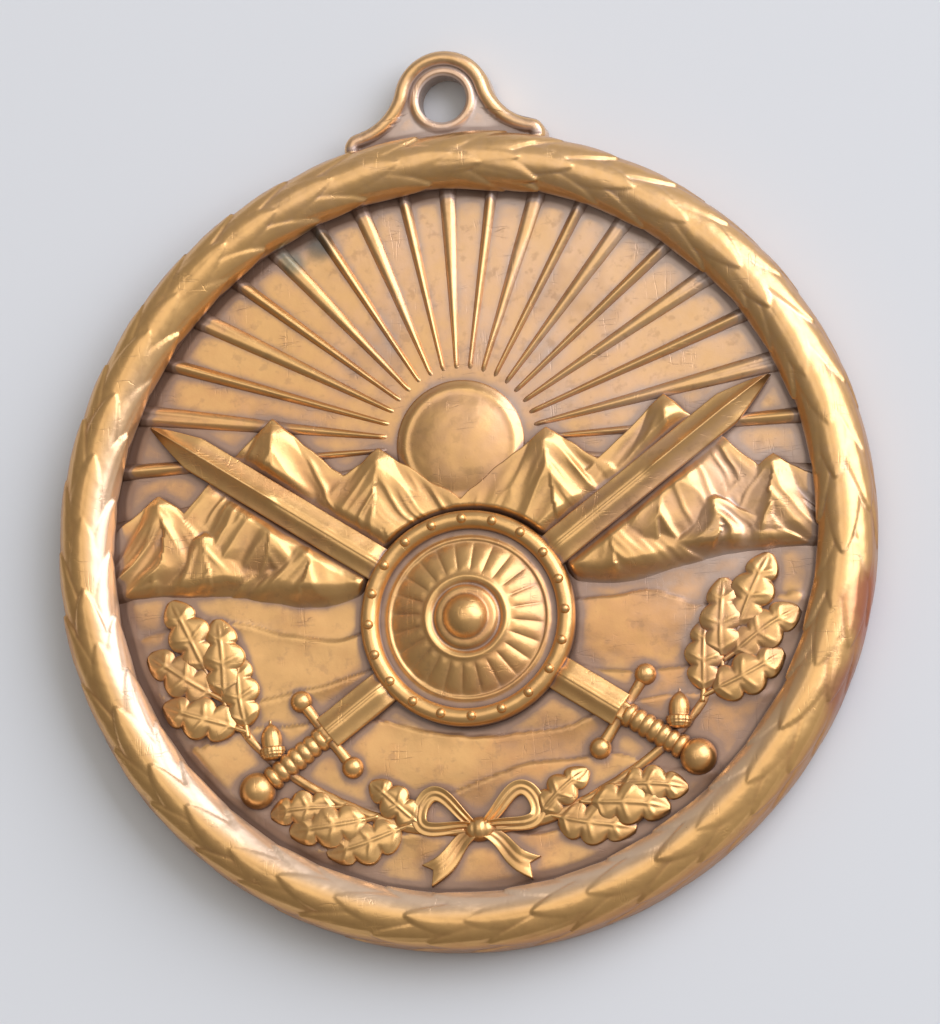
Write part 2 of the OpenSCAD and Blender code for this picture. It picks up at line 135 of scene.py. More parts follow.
def round_back(x, r):
    """Height of a ball or a round bar of radius r over its middle, at a distance from it."""
    return np.sqrt(np.clip(r ** 2 - x ** 2, 0, None))


LATTICE_N = 128
LATTICE = np.random.default_rng(3).uniform(-1, 1, (LATTICE_N, LATTICE_N))


def between(corner, u, v):
    """A value inside a cell from the values at its corners."""
    return lerp(lerp(corner[0][0], corner[1][0], u), lerp(corner[0][1], corner[1][1], u), v)


def lumps(x, y):
    """Smooth noise from -1 to 1 with lumps about one unit across."""
    i, j = np.floor(x).astype(int), np.floor(y).astype(int)
    u, v = smooth(0, 1, x - i), smooth(0, 1, y - j)
    return between([[LATTICE[(i + a) % LATTICE_N, (j + b) % LATTICE_N] for b in (0, 1)]
                    for a in (0, 1)], u, v)


def rough(x, y, scale, seed=0.0, octaves=3):
    """Fractal noise; scale is the size of its largest lumps."""
    total = 0
    for k in range(octaves):
        f = 2.03 ** k / scale
        px, py = x * f + 17.3 * seed + 5.1 * k, y * f - 9.7 * seed + 3.3 * k
        total = total + 0.5 ** k * lumps(px, py)
    return total


def cos_sin(angle):
    return math.cos(math.radians(angle)), math.sin(math.radians(angle))


def turned(x, y, angle, origin=(0, 0)):
    """Points turned by an angle in degrees and moved to an origin."""
    c, s = cos_sin(angle)
    return origin[0] + c * x - s * y, origin[1] + s * x + c * y


# ---- meshes


def slab(u_cells, v_cells):
    """A closed slab over the unit square: a grid on top at z = 1, a wall, and one face below."""
    bm = bmesh.new()
    bmesh.ops.create_grid(bm, x_segments=u_cells, y_segments=v_cells, size=0.5)
    bmesh.ops.translate(bm, verts=bm.verts, vec=(0.5, 0.5, 1))
    wall = bmesh.ops.extrude_edge_only(bm, edges=[e for e in bm.edges if e.is_boundary])["geom"]
    low = [v for v in wall if isinstance(v, bmesh.types.BMVert)]
    bmesh.ops.translate(bm, verts=low, vec=(0, 0, -1))
    bmesh.ops.holes_fill(bm, edges=[e for e in bm.edges if e.is_boundary], sides=0)
    return bm


def read(bm):
    return np.array([v.co for v in bm.verts])


def write(bm, x, y, z):
    for vert, place in zip(bm.verts, np.stack([x, y, z], axis=1)):
        vert.co = place
    return bm


def embossed(u_cells, v_cells, shape):
    """A slab moved to shape(u, v) = x, y, height over the field; its underside lies below it."""
    bm = slab(u_cells, v_cells)
    u, v, top = read(bm).T
    x, y, h = shape(u, v)
    write(bm, x, y, FIELD_Z + np.where(top > 0.5, np.maximum(h, -SUNK), -2 * SUNK))
    # Points that fell on one spot, as at a blade's tip, become one
    bmesh.ops.remove_doubles(bm, verts=bm.verts, dist=MERGE)
    return bm


def lathe(profile, steps, closed=False):
    """A profile of (radius, height) points drawn round the Z axis, from a rolled-up grid."""
    points = np.array(profile + profile[:1] if closed else profile)
    rows = len(points) - 1
    bm = bmesh.new()
    bmesh.ops.create_grid(bm, x_segments=steps, y_segments=rows, size=0.5)
    u, v, _ = read(bm).T + 0.5
    r, z = points[np.rint(v * rows).astype(int)].T
    angle = 2 * pi * (np.rint(u * steps) % steps) / steps
    write(bm, r * np.cos(angle), r * np.sin(angle), z)
    bmesh.ops.remove_doubles(bm, verts=bm.verts, dist=MERGE)
    return bm


def placed(bm, origin, stretch=(1, 1, 1)):
    """A form that stands on the field, stretched and moved."""
    x, y, z = (read(bm) * stretch).T
    return write(bm, origin[0] + x, origin[1] + y, FIELD_Z + z)


def mesh_of(name, bm):
    mesh = bpy.data.meshes.new(name)
    bm.to_mesh(mesh)
    bm.free()
    return mesh


def joined(parts, mirrored=False):
    """One bmesh of several; mirrored swaps left and right."""
    total = bmesh.new()
    for bm in parts:
        mesh = mesh_of("part", bm)
        total.from_mesh(mesh)
        bpy.data.meshes.remove(mesh)
    if mirrored:
        bmesh.ops.scale(total, verts=total.verts, vec=(-1, 1, 1))
    return total


def shown(name, data):
    obj = bpy.data.objects.new(name, data)
    scene.collection.objects.link(obj)
    return obj


pieces = []
slots = {}


def piece(name, bm, slot, *nodes):
    """Turns a bmesh in millimetres into a smooth piece that stands for CAD nodes."""
    bmesh.ops.recalc_face_normals(bm, faces=bm.faces)
    bmesh.ops.scale(bm, verts=bm.verts, vec=(MM, MM, MM))
    mesh = mesh_of(name, bm)
    mesh.shade_smooth()
    obj = shown(name, mesh)
    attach(obj, BODY)
    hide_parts(*nodes)
    pieces.append(obj)
    slots[obj.name] = slot


# ---- shader maths

# Sockets that are found by their place, because their names are shared with others
MIX_SHARE, MIX_A, MIX_B, MIX_COLOUR = 0, 6, 7, 2
OBJECT_PLACE, SINGLE_RESULT, ATTRIBUTE_VALUE = 3, 1, 2


class Sock:
    """A shader value, vector or colour; sums and products of values add Math nodes."""

    def __init__(self, shop, socket):
        self.shop, self.socket = shop, socket

    def math(self, operation, *others):
        return self.shop.math(operation, self, *others)

    def __add__(self, other): return self.math("ADD", other)
    def __mul__(self, other): return self.math("MULTIPLY", other)
    def __sub__(self, other): return self.math("SUBTRACT", other)
    def __rsub__(self, other): return self.shop.math("SUBTRACT", other, self)
    __radd__, __rmul__ = __add__, __mul__

    def step(self, low, high):
        """0 at low, 1 at high, with an even slope."""
        return self.shop.add("ShaderNodeMapRange", {"interpolation_type": "SMOOTHSTEP"},
                             self, low, high, 0, 1)


class Shop:
    """Builds one material, or the nodes of a world."""

    def __init__(self, name, tree=None, shader=None):
        if tree is None:
            self.material = bpy.data.materials.new(name)
            self.material.use_nodes = True
            tree = self.material.node_tree
            shader = tree.nodes["Principled BSDF"]
        self.tree, self.shader = tree, shader

    def put(self, socket, value):
        if isinstance(value, Sock):
            self.tree.links.new(value.socket, socket)
        elif isinstance(value, tuple) and len(value) == 3 and socket.type == "RGBA":
            socket.default_value = (*value, 1)
        else:
            socket.default_value = value

    def add(self, kind, settings, *values, out=0, **named):
        node = self.tree.nodes.new(kind)
        for key, value in settings.items():
            setattr(node, key, value)
        for index, value in enumerate(values):
            self.put(node.inputs[index], value)
        for key, value in named.items():
            self.put(next(s for s in node.inputs
                          if s.name == key.replace("_", " ") and s.enabled), value)
        return Sock(self, node.outputs[out])

    def math(self, operation, *values):
        return self.add("ShaderNodeMath", {"operation": operation}, *values)

    def vector(self, operation, a, b, out=SINGLE_RESULT):
        return self.add("ShaderNodeVectorMath", {"operation": operation}, a, b, out=out)

    def mix(self, share, a, b):
        node = self.tree.nodes.new("ShaderNodeMix")
        node.data_type = "RGBA"
        for index, value in ((MIX_SHARE, share), (MIX_A, a), (MIX_B, b)):
            self.put(node.inputs[index], value)
        return Sock(self, node.outputs[MIX_COLOUR])

    def noise(self, where, scale, detail=3, roughness=0.6):
        return self.add("ShaderNodeTexNoise", {}, Vector=where, Scale=scale, Detail=detail,
                        Roughness=roughness)

    def attribute(self, name):
        return self.add("ShaderNodeAttribute", {"attribute_name": name}, out=ATTRIBUTE_VALUE)

    def finish(self, **sockets):
        for key, value in sockets.items():
            self.put(self.shader.inputs[key.replace("_", " ")], value)
        return getattr(self, "material", None)


# ---- camera and lights


VIEW_W, VIEW_H = 940, 1024
SENSOR_W = 36


def place_camera():
    """Looks down on the obverse from the lower right, from about arm's length."""
    distance, tilt, bearing = 320, 14.55, -45.98
    roll, wide = 2.965, 40.433
    raised, aside, mid_height = 1.065, 0.322, 2
    tall = wide * VIEW_H / VIEW_W
    tilt, bearing, roll = (math.radians(a) for a in (tilt, bearing, roll))
    away = Vector((math.cos(bearing), math.sin(bearing), 0))
    back = away * math.sin(tilt) + Vector((0, 0, math.cos(tilt)))
    # The lug's axis leans a little to the left in the view
    upright = Vector((math.sin(roll), math.cos(roll), 0))
    right = upright.cross(back).normalized()
    up = back.cross(right)
    middle = Vector((0, 0, mid_height)) + up * raised + right * aside
    data = bpy.data.cameras.new("camera")
    data.sensor_width = SENSOR_W
    data.lens = SENSOR_W * distance / tall
    data.clip_start, data.clip_end = 0.005, 20
    camera = shown("camera", data)
    camera.matrix_world = Matrix((right, up, back)).transposed().to_4x4()
    camera.location = (middle + back * distance) * MM
    scene.camera = camera


def softbox(name, place, size, watts, colour):
    """A rectangular light at a place in metres, turned to the origin."""
    data = bpy.data.lights.new(name, "AREA")
    data.shape = "RECTANGLE"
    data.size, data.size_y = size
    data.energy = watts
    data.color = colour
    lamp = shown(name, data)
    lamp.location = place
    lamp.rotation_euler = (-Vector(place)).to_track_quat("-Z", "Y").to_euler()


def light_studio():
    softbox("window", (0.46, 0.27, 0.42), (0.7, 0.6), 4.7, (0.93, 0.98, 1.14))
    softbox("ceiling", (0.02, 0.20, 1.0), (0.9, 0.8), 2.0, (1.02, 0.99, 0.95))
    world = bpy.data.worlds.new("studio")
    scene.world = world
    world.use_nodes = True
    background = world.node_tree.nodes["Background"]
    # The room is brighter on the window's side
    room = Shop("room", world.node_tree, background)
    toward = room.vector("DOT_PRODUCT", room.add("ShaderNodeTexCoord", {}), (0.72, 0.48, 0.5))
    background.inputs["Strength"].default_value = 1
    room.finish(Color=room.mix(toward.step(-0.7, 0.9), (0.22, 0.21, 0.20), (0.52, 0.52, 0.53)))
    scene.view_settings.view_transform = "Standard"


# ---- wreath

LAUREL_L = 4.7
LAUREL_W = 2.1
ROW_ANGLE = 50
SPLAY = 14
# Radius at which the leaves are laid out round the stem
SKIN_R = STEM_R + 0.2


def laurel_width(u):
    """Share of a laurel leaf's half width, from its root to its point."""
    root = np.where(u < 0.42, 1 - 0.5 * (1 - u / 0.42) ** 2, 1)
    return root * unit((1 - u) / 0.58) ** 0.62


# Leaves that splay at the top, where the garland is tied: bearing of the root, where the
# root lies across the garland, and how far the point swings to a side
TOP_LEAVES = [(100, 96, 8), (97, 80, -72), (96.5, 102, 74), (91.5, 78, -40), (91, 100, 30)]
TOP_LIFT = 1.06


def wreath_heights(around, across):
    """Height over the stem of the highest leaf at each angle round the ring and the stem."""
    hand = np.random.default_rng(7)
    high = np.full_like(around, 0.1)
    pitch = 360 / WHORLS
    leaves = []
    for i in range(WHORLS):
        for row in (-2, -1, 0, 1):
            size, turn = hand.uniform(0.92, 1.1), hand.uniform(-6, 6)
            lift, bend = hand.uniform(0.84, 1.04), hand.uniform(-6, 6)
            start = 90 - (i + (0.5 if row in (-2, 0) else 0)) * pitch + hand.uniform(-1, 1)
            middle = 90 + row * ROW_ANGLE + turn - 0.3 * row * SPLAY
            leaves.append((start, middle, row * SPLAY, bend, size, lift))
    leaves += [(start, middle, swing, 0, 1, TOP_LIFT) for start, middle, swing in TOP_LEAVES]
    for start, root, swing, bend, size, lift in leaves:
        back = (start - around + 180) % 360 - 180
        u = np.radians(back) * RING_R / (LAUREL_L * size)
        inside = (u > 0) & (u < 1)
        u = u[inside]
        gap = np.radians(across[inside] - root - swing * u - bend * u * u) * SKIN_R
        v = abs(gap) / (LAUREL_W / 2 * size * laurel_width(u) + 1e-6)
        body = LEAF_H * lift * lerp(0.5, 1, smooth(0.05, 0.9, u))
        edge = body - 0.085 * smooth(0, 0.3, u)
        vein = 0.016 * hump(gap, 0, 0.07) * smooth(0.1, 0.4, u) * smooth(1, 0.7, u)
        h = edge + (body - edge) * unit(1 - v ** 2) - vein
        h = np.where(v < 1, h * lerp(0.5, 1, smooth(1.0, 0.86, v)), 0)
        high[inside] = np.maximum(high[inside], h)
    return high


def make_wreath():
    """A garland lifted into leaves, which rolls down over the disc's edge on the outside."""
    steps, rows = 1120, 82
    # The edge of the medal: a wall below the stem, then a curl under
    wall, curl = RING_Z - 0.6, 0.35
    low = -math.degrees((wall + curl * pi / 2) / SKIN_R)
    high = 201
    bm = lathe([(1, k) for k in range(rows + 1)], steps, closed=True)
    x, y, level = read(bm).T
    around = np.degrees(np.arctan2(y, x))
    across = lerp(low, high, level / rows)
    h = wreath_heights(around, across)
    place_x, place_y = RING_R * x, RING_R * y
    # Handling has rubbed the crown, and the garland swells and thins a little
    h = h - 0.05 * smooth(0.15, 0.3, h) * smooth(40, 90, across) * smooth(150, 95, across)
    along = place_y + across * 0.02
    grain = rough(place_x, along, 1.7, 3.0, 2) + 0.5 * rough(place_x, along, 0.5, 6.0, 2)
    h = np.minimum(h + 0.014 * grain - 0.008, LEAF_H)
    down = np.clip(-np.radians(across) * SKIN_R, 0, None)
    bend = np.clip((down - wall) / curl, 0, pi / 2)
    lean = np.where(across < 0, -bend, np.radians(across))
    # Towards the table the leaves fade into a worn edge
    h = lerp(h, 0.2, 0.75 * smooth(-5, -38, across))
    h = np.where((level < 0.5) | (level > rows - 0.5), 0, h * (1 - 0.7 * smooth(0, 1.2, bend)))
    c, s = np.cos(lean), np.sin(lean)
    r = RING_R + np.where(across < 0, STEM_R - curl * (1 - np.cos(bend)), STEM_R * c)
    z = RING_Z + np.where(across < 0, -np.minimum(down, wall) - curl * np.sin(bend), STEM_R * s)
    r, z = r + h * c, z + h * s
    write(bm, r * np.cos(np.radians(around)), r * np.sin(np.radians(around)), z)
    piece("laurel_garland", bm, "wreath_bronze", "laurel_wreath")


# ---- lug

HEAD = np.array([0.0, HOLE_Y])
FOOT = np.array([FOOT_X, math.sqrt(DISC_R ** 2 - FOOT_X ** 2)])


def flank_middle():
    """Middle of the hollow flank, tangent from outside to the head and to the foot."""
    line = FOOT - HEAD
    d = float(np.hypot(*line))
    to_head, to_foot = HEAD_R + FLARE_R, FOOT_R + FLARE_R
    a = (to_head ** 2 - to_foot ** 2 + d * d) / (2 * d)
    b = math.sqrt(to_head ** 2 - a * a)
    e = line / d
    return HEAD + a * e + b * np.array([-e[1], e[0]])


def arc(middle, r, start, end, steps):
    a = np.radians(np.linspace(start, end, steps + 1))
    return np.stack([middle[0] + r * np.cos(a), middle[1] + r * np.sin(a)], axis=1)


def lug_outline():
    """The lug's outline, from the right foot over the head to the left foot."""
    flank = flank_middle()
    at_head, at_foot = (math.degrees(math.atan2(*(flank - end)[::-1])) for end in (HEAD, FOOT))
    right = np.concatenate([
        arc(FOOT, FOOT_R, -70, at_foot, 24)[:-1],
        arc(flank, FLARE_R, 180 + at_foot, 180 + at_head, 40)[:-1],
        arc(HEAD, HEAD_R, at_head, 90, 48)])
    left = (right * [-1, 1])[::-1]
    return np.concatenate([right, left[1:]])


def distance_to(line, x, y):
    """Distance from each point to a line of points."""
    best = np.full_like(x, 1e9)
    for a, b in zip(line[:-1], line[1:]):
        d = b - a
        t = unit(((x - a[0]) * d[0] + (y - a[1]) * d[1]) / (d @ d))
        best = np.minimum(best, np.hypot(x - a[0] - t * d[0], y - a[1] - t * d[1]))
    return best


def make_lug():
    """A plate spun round the hole, then drawn out to the ogee outline."""
    outline = lug_outline()
    rings, steps = 54, 480
    bead_r, bead_gap, lip_h, groove_h = 0.31, 0.02, 0.14, 0.11
    # Below the feet the plate ends on a circle under the wreath
    seat = math.degrees(math.atan2(outline[0][1], outline[0][0]))
    under = arc((0, 0), float(np.hypot(*outline[0])), 180 - seat, seat, 60)
    edge = np.concatenate([outline, under[1:]])
    run = np.concatenate([[0], np.cumsum(np.hypot(*np.diff(edge, axis=0).T))])
    even = np.linspace(0, run[-1], steps, endpoint=False)
    edge = np.stack([np.interp(even, run, edge[:, k]) for k in (0, 1)], axis=1) - HEAD
    reach = np.hypot(*edge.T)
    ahead = np.roll(edge, -2, axis=0) - np.roll(edge, 2, axis=0)
    # Where the outline runs off at a slant, the bead takes up more of the way to it
    slant = abs(edge[:, 0] * ahead[:, 1] - edge[:, 1] * ahead[:, 0])
    slant = slant / (reach * np.hypot(*ahead.T))
    # Each point is (1 + q, level): q from the hole to the outline, level from back to face
    face = [(k / rings, 1) for k in range(rings + 1)]
    back = [(1, 0.9), (1, 0.1), (0.98, 0), (0.5, 0), (0.04, 0), (0, 0.1), (0, 0.9)]
    bm = lathe([(1 + q, level) for q, level in face + back], steps, closed=True)
    x, y, level = read(bm).T
    spoke = np.rint(np.arctan2(y, x) / (2 * pi) * steps).astype(int) % steps
    q = np.hypot(x, y) - 1
    c, s = (edge[spoke] / reach[spoke][:, None]).T
    span = reach[spoke] - HOLE_R
    collar = np.minimum(0.55, 0.4 * span)
    rim = np.minimum(0.85 / np.maximum(slant[spoke], 0.2), span - collar - 0.04)
    r = HOLE_R + np.select(
        [q < 0.25, q < 0.45],
        [collar * q / 0.25, lerp(collar, span - rim, (q - 0.25) / 0.2)],
        span - rim + rim * (q - 0.45) / 0.55)
    px, py = HEAD[0] + r * c, HEAD[1] + r * s
    from_edge = distance_to(outline, px, py)
    from_hole = r - HOLE_R
    bead = round_back(from_edge - bead_r - bead_gap, bead_r)
    groove = -groove_h * hump(from_edge, 0.69, 0.08)
    lip = lip_h * smooth(0.52, 0.24, from_hole) * lerp(0.35, 1, smooth(0, 0.14, from_hole))
    dish = -0.03 * smooth(0.4, 0.7, from_hole) * smooth(0.6, 0.9, from_edge)
    grain = 0.012 * rough(px, py, 0.8, 5.0)
    h = np.maximum(bead * (1 + 0.04 * rough(px, py, 0.9, 2.0)), groove + dish + grain) + lip
    thick = PLATE_HIGH - PLATE_LOW
    z = PLATE_LOW + np.where(level > 0.99, thick + h, level * thick)
    soften = np.where(level < 0.01, 0.07 * smooth(0.2, 0, from_edge), 0)
    write(bm, px, py, z + soften)
    piece("ogee_lug", bm, "struck_bronze", "suspension_lug")


# ---- disc


# Hills below the range: place of the crest, and how far it swings
HILLS = [(-3.3, 0.5), (-5.6, 0.8), (-8.0, 0.6), (-10.6, 0.9), (-12.9, 0.5)]


def ground(x, y):
    """Low relief of the bare field: a little unevenness, and rolling ground below the range."""
    r = np.hypot(x, y)
    h = 0.012 * rough(x, y, 4.0, 1.0, 2)
    low = smooth(RANGE_FOOT + 1.2, RANGE_FOOT - 1.0, y)
    swell = np.sin(y * 1.7 + 0.22 * x + 1.1 * np.sin(x * 0.33) + 0.8 * lumps(x * 0.3, y * 0.4))
    h = h + low * (0.04 * swell + 0.035 * rough(x * 0.55, y, 1.5, 8.0))
    # Hills that overlap: each is highest along its crest and sinks away in front of it
    for k, (crest, swing) in enumerate(HILLS):
        line = crest + swing * np.sin(0.36 * x + 2.1 * k) + 0.35 * lumps(x * 0.5, x * 0 + 3.7 * k)
        below = line - y
        h = h + 0.11 * smooth(-0.03, 0.07, below) * np.exp(-np.clip(below, 0, None) / 1.2)
    # The field dips where the wreath springs from it
    dip = 0.05 * smooth(FIELD_R - 0.5, FIELD_R + 0.1, r)
    return h * smooth(FIELD_R + 0.1, FIELD_R - 0.6, r) - dip


def make_disc():
    """The struck disc: a fine obverse field, a rounded edge, and a plain reverse in its rim."""
    steps, rings = 480, 130
    edge_r, rim_h = 0.2, 0.25
    # The wreath rolls down round the edge and leaves this much of the disc
    edge, rim = DISC_R - 0.45, DISC_R - 1.2
    field = [((FIELD_R + 0.25) * k / rings, FIELD_Z) for k in range(rings + 1)]
    top = [(edge - edge_r + edge_r * c, FIELD_Z - edge_r + edge_r * s)
           for c, s in map(cos_sin, (90, 72, 54, 36, 18, 0))]
    bottom = [(r, edge_r - (z - FIELD_Z + edge_r)) for r, z in reversed(top)]
    back = [(rim + 0.12, 0), (rim + 0.05, 0.03), (rim - 0.06, rim_h - 0.05), (rim - 0.16, rim_h)]
    reverse = [((rim - 0.16) * (1 - k / 40), rim_h) for k in range(1, 41)]
    bm = lathe(field + top + bottom + back + reverse, steps)
    x, y, z = read(bm).T
    r = np.hypot(x, y)
    face = (z > FIELD_Z - 1e-4) & (r < FIELD_R + 0.26)
    side = ~face & (r > edge - 0.3)
    behind = (r < rim - 0.2) & (z < FIELD_Z / 2)
    lift = np.zeros_like(x)
    lift[face] = ground(x[face], y[face])
    lift[behind] = 0.02 * rough(x[behind], y[behind], 5.0, 6.0)
    # A struck edge isn't quite true
    shrink = np.where(side, 1 - 0.0006 * (1 + rough(x, y, 2.5, 4.0)), 1)
    write(bm, x * shrink, y * shrink, np.maximum(z + lift, 0))
    piece("struck_disc", bm, "struck_bronze", "medal_disc")


# ---- sun and rays


def make_sun():
    rings = 34
    profile = []
    for k in range(rings + 1):
        r = SUN_R * k / rings
        dome = SUN_H * (1 - (r / SUN_R) ** 2.2)
        band = 0.07 * hump(r, SUN_R * 0.86, 0.16)
        profile.append((r, FIELD_Z + dome * 0.86 + band + 0.06))
    profile += [(SUN_R + 0.04, FIELD_Z - SUNK)]
    profile += [(r, FIELD_Z - 2 * SUNK) for r in (SUN_R * 0.7, 0)]
    bm = lathe(profile, 160)
    x, y, z = read(bm).T
    z = z + np.where(z > FIELD_Z, 0.02 * rough(x, y, 1.4, 9.0), 0)
    write(bm, x, y + SUN_Y, z)
    piece("rising_sun", bm, "relief_bronze", "sun_disc")


RAYS = 21
RAY_SPREAD = 200
RAY_W = 1.15
RAY_H = 0.3
RAY_GAP = 0.4


def reach(angle, r, y):
    """Distance from (0, y), along a bearing in degrees, to the circle of radius r."""
    b = y * cos_sin(angle)[1]
    return -b + math.sqrt(b * b + r * r - y ** 2)


def make_rays():
    """Ridges that widen and rise from the sun to the wreath; every other one is slighter."""
    hand = np.random.default_rng(21)
    rays = []
    for i in range(RAYS):
        angle = 90 - RAY_SPREAD / 2 + RAY_SPREAD * i / (RAYS - 1)
        broad = i % 2 == 0
        full = (1 if broad else 0.62) * (FIELD_R + SUN_Y)
        width = RAY_W * (1.5 if broad else 0.7)
        length = min(full, reach(angle, UNDER_R, SUN_Y) - SUN_R - (RAY_GAP + 0.05))
        seed = hand.uniform(0, 50)

        def ray(u, v):
            along = u * length
            share = along / full
            half = lerp(0.12, width / 2, share)
            side = 2 * v - 1
            crown = unit(1 - abs(side) ** 1.7)
            h = lerp(RAY_H / 2, RAY_H, share) * crown * smooth(0, 0.35, along) * 1.06
            # The broad rays are fluted down their middle
            flute = 0.35 * h * hump(side, 0, 0.24) * smooth(0.2, 0.6, share) if broad else 0
            h = h - flute + 0.012 * lumps(along * 0.8 + seed, side) - 0.03
            h = np.where(abs(side) > 0.99, -SUNK, h)
            x, y = turned(SUN_R + RAY_GAP + along, half * side, angle, (0, SUN_Y))
            return x, y, h

        rays.append(embossed(70, 14, ray))
    piece("sunburst", joined(rays), "struck_bronze", "sun_rays")


# ---- where the swords lie

BLADE_W = 1.5
BLADE_H = 0.75
POINT_L = 2.4
GRIP_L = 3.0
GRIP_R = 0.575
GUARD_L = 3.7
GUARD_R = 0.375
POMMEL_R = 0.85
HILT_LIFT = 0.06
RELIEF_R = FIELD_R - 0.15
TIP_T = reach(SWORD_SLOPE, RELIEF_R - 0.1, SHIELD_Y)
POMMEL_T = reach(180 + SWORD_SLOPE, RELIEF_R - POMMEL_R - 0.2, SHIELD_Y)
GUARD_T = POMMEL_T - POMMEL_R - GRIP_L


# ---- mountain range

# Summits: place, height above the foot, half width, share of the full relief
SUMMITS = [(-13.4, 4.4, 6, 0.8), (-8.2, 7.4, 8, 1), (-3.6, 5.7, 8, 0.85),
           (3.8, 6, 8.4, 0.9), (9, 7, 8, 1), (13.6, 4, 6, 0.8)]
# Foothills: place, how far the foot lies in front of the range's, height, half width
FOOTHILLS = [(-11.4, 0, 2.6, 4), (-6.8, 0.9, 3.6, 4.4), (6.5, 0.9, 3.6, 4.6), (11, 0, 2.4, 4)]
# Where the noise of each summit is read
SUMMIT_SEEDS = [1.7 * k + 0.4 for k in range(len(SUMMITS))]
SUMMIT_H = 0.75
GROUND_H = 0.12
RANGE_HALF = 15.55


def skyline_at(x, place, foot, top, half_w, seed):
    """Place on the field up to which one mountain stands."""
    jag = 0.10 * rough(x, x * 0 + seed, 0.8, seed, 2) * smooth(0, 0.8, abs(x - place))
    return foot + top * (1 - abs(x - place) / half_w) + jag


def tent(x, y, place, foot, top, half_w, relief, seed):
    """Height of one mountain, and how far below its skyline each point lies."""
    below = skyline_at(x, place, foot, top, half_w, seed) - y
    down = np.clip((foot + top - y) / top, 0, 1.3)
    wander = 0.25 * rough(y, y * 0 + seed, 1.2, seed, 2)
    ridge = place + 0.5 * np.sin(down * 4.2 + seed) * down + wander * down
    side = np.where(x < ridge, -1.0, 1.0)
    spur = abs(x - ridge) - 0.62 * top * down
    cut = abs(lumps(spur * 0.95 + 3 * seed + side * 7, y * 0.22 + seed))
    fine = abs(lumps(spur * 2.1 + 5 * seed + side * 3, y * 0.5 - seed))
    crest = unit(1 - abs(x - ridge) / (0.35 + 1.1 * top * down * 0.5))
    h = SKYLINE_H + (relief - SKYLINE_H) * crest ** 0.8 * smooth(0, 0.12, down)
    gullies = 0.22 * (0.35 - cut) + 0.08 * (0.35 - fine)
    h = h + gullies * smooth(0.05, 0.35, down) * smooth(0, 0.7, below)
    # The flanks run out towards the foot
    return h * lerp(1, 0.35, smooth(0.75, 1.05, down)), below


def from_blades(x, y):
    """Distance from each point to the nearer blade's middle line."""
    near = np.full_like(x, 1e9)
    c, s = cos_sin(SWORD_SLOPE)
    for side in (-1, 1):
        across = abs(side * x * s - (y - SHIELD_Y) * c)
        along = side * x * c + (y - SHIELD_Y) * s
        near = np.minimum(near, np.hypot(across, np.clip(along - TIP_T, 0, None)))
    return near


def give_way(x, y, h):
    """Lowers the ground beside the blades and under the shield, which lie over it."""
    beside = smooth(BLADE_W / 2 + 0.55, BLADE_W / 2 - 0.1, from_blades(x, y))
    h = lerp(h, np.minimum(h, 0.2), beside)
    under = smooth(SHIELD_R + 0.35, SHIELD_R - 0.15, np.hypot(x, y - SHIELD_Y))
    return lerp(h, -SUNK, under)


def range_shape(x, y):
    """Height of the whole range at each point."""
    total = np.full_like(x, GROUND_H)
    for (place, top, half_w, share), seed in zip(SUMMITS, SUMMIT_SEEDS):
        h, below = tent(x, y, place, RANGE_FOOT, top, half_w, SUMMIT_H * share, seed)
        higher = np.maximum(total, h * smooth(-0.08, 0.05, below))
        total = np.where(below > -0.05, higher, total)
    for k, (place, front, top, half_w) in enumerate(FOOTHILLS):
        foot, seed = RANGE_FOOT - front, 2.3 * k + 5.1
        h, below = tent(x, y, place, foot, top, half_w, SUMMIT_H * 0.75, seed)
        higher = lerp(total, np.maximum(total, h + GROUND_H), smooth(-0.05, 0.1, below))
        total = np.where(below > -0.05, higher, total)
    return total


def make_range():
    """A sheet of relief from the foot of the hills to the skyline, from rim to rim."""
    skyline_v, rim_v = 0.97, 0.985

    def shape(u, v):
        x = lerp(-RANGE_HALF, RANGE_HALF, u)
        skyline = np.full_like(x, RANGE_FOOT)
        for (place, top, half_w, _), seed in zip(SUMMITS, SUMMIT_SEEDS):
            skyline = np.maximum(skyline, skyline_at(x, place, RANGE_FOOT, top, half_w, seed))
        foot = RANGE_FOOT - 0.25 - 0.95 * (hump(x, -6.8, 3.4) + hump(x, 6.5, 3.6))
        climb = unit(v / skyline_v)
        y = lerp(foot, skyline, climb) + np.where(v > rim_v, 0.05, 0)
        h = range_shape(x, y) * smooth(-0.02, 0.16, climb) - 0.12 * smooth(0.1, 0, climb)
        h = np.where(v > rim_v, -SUNK, give_way(x, y, h))
        inside = np.minimum(1, UNDER_R / (np.hypot(x, y) + 1e-9))
        return x * inside, y * inside, h

    piece("mountain_ridges", embossed(400, 110, shape), "relief_bronze", "mountain_range")


# ---- swords

def at_end(u):
    return (u < 0.001) | (u > 0.999)


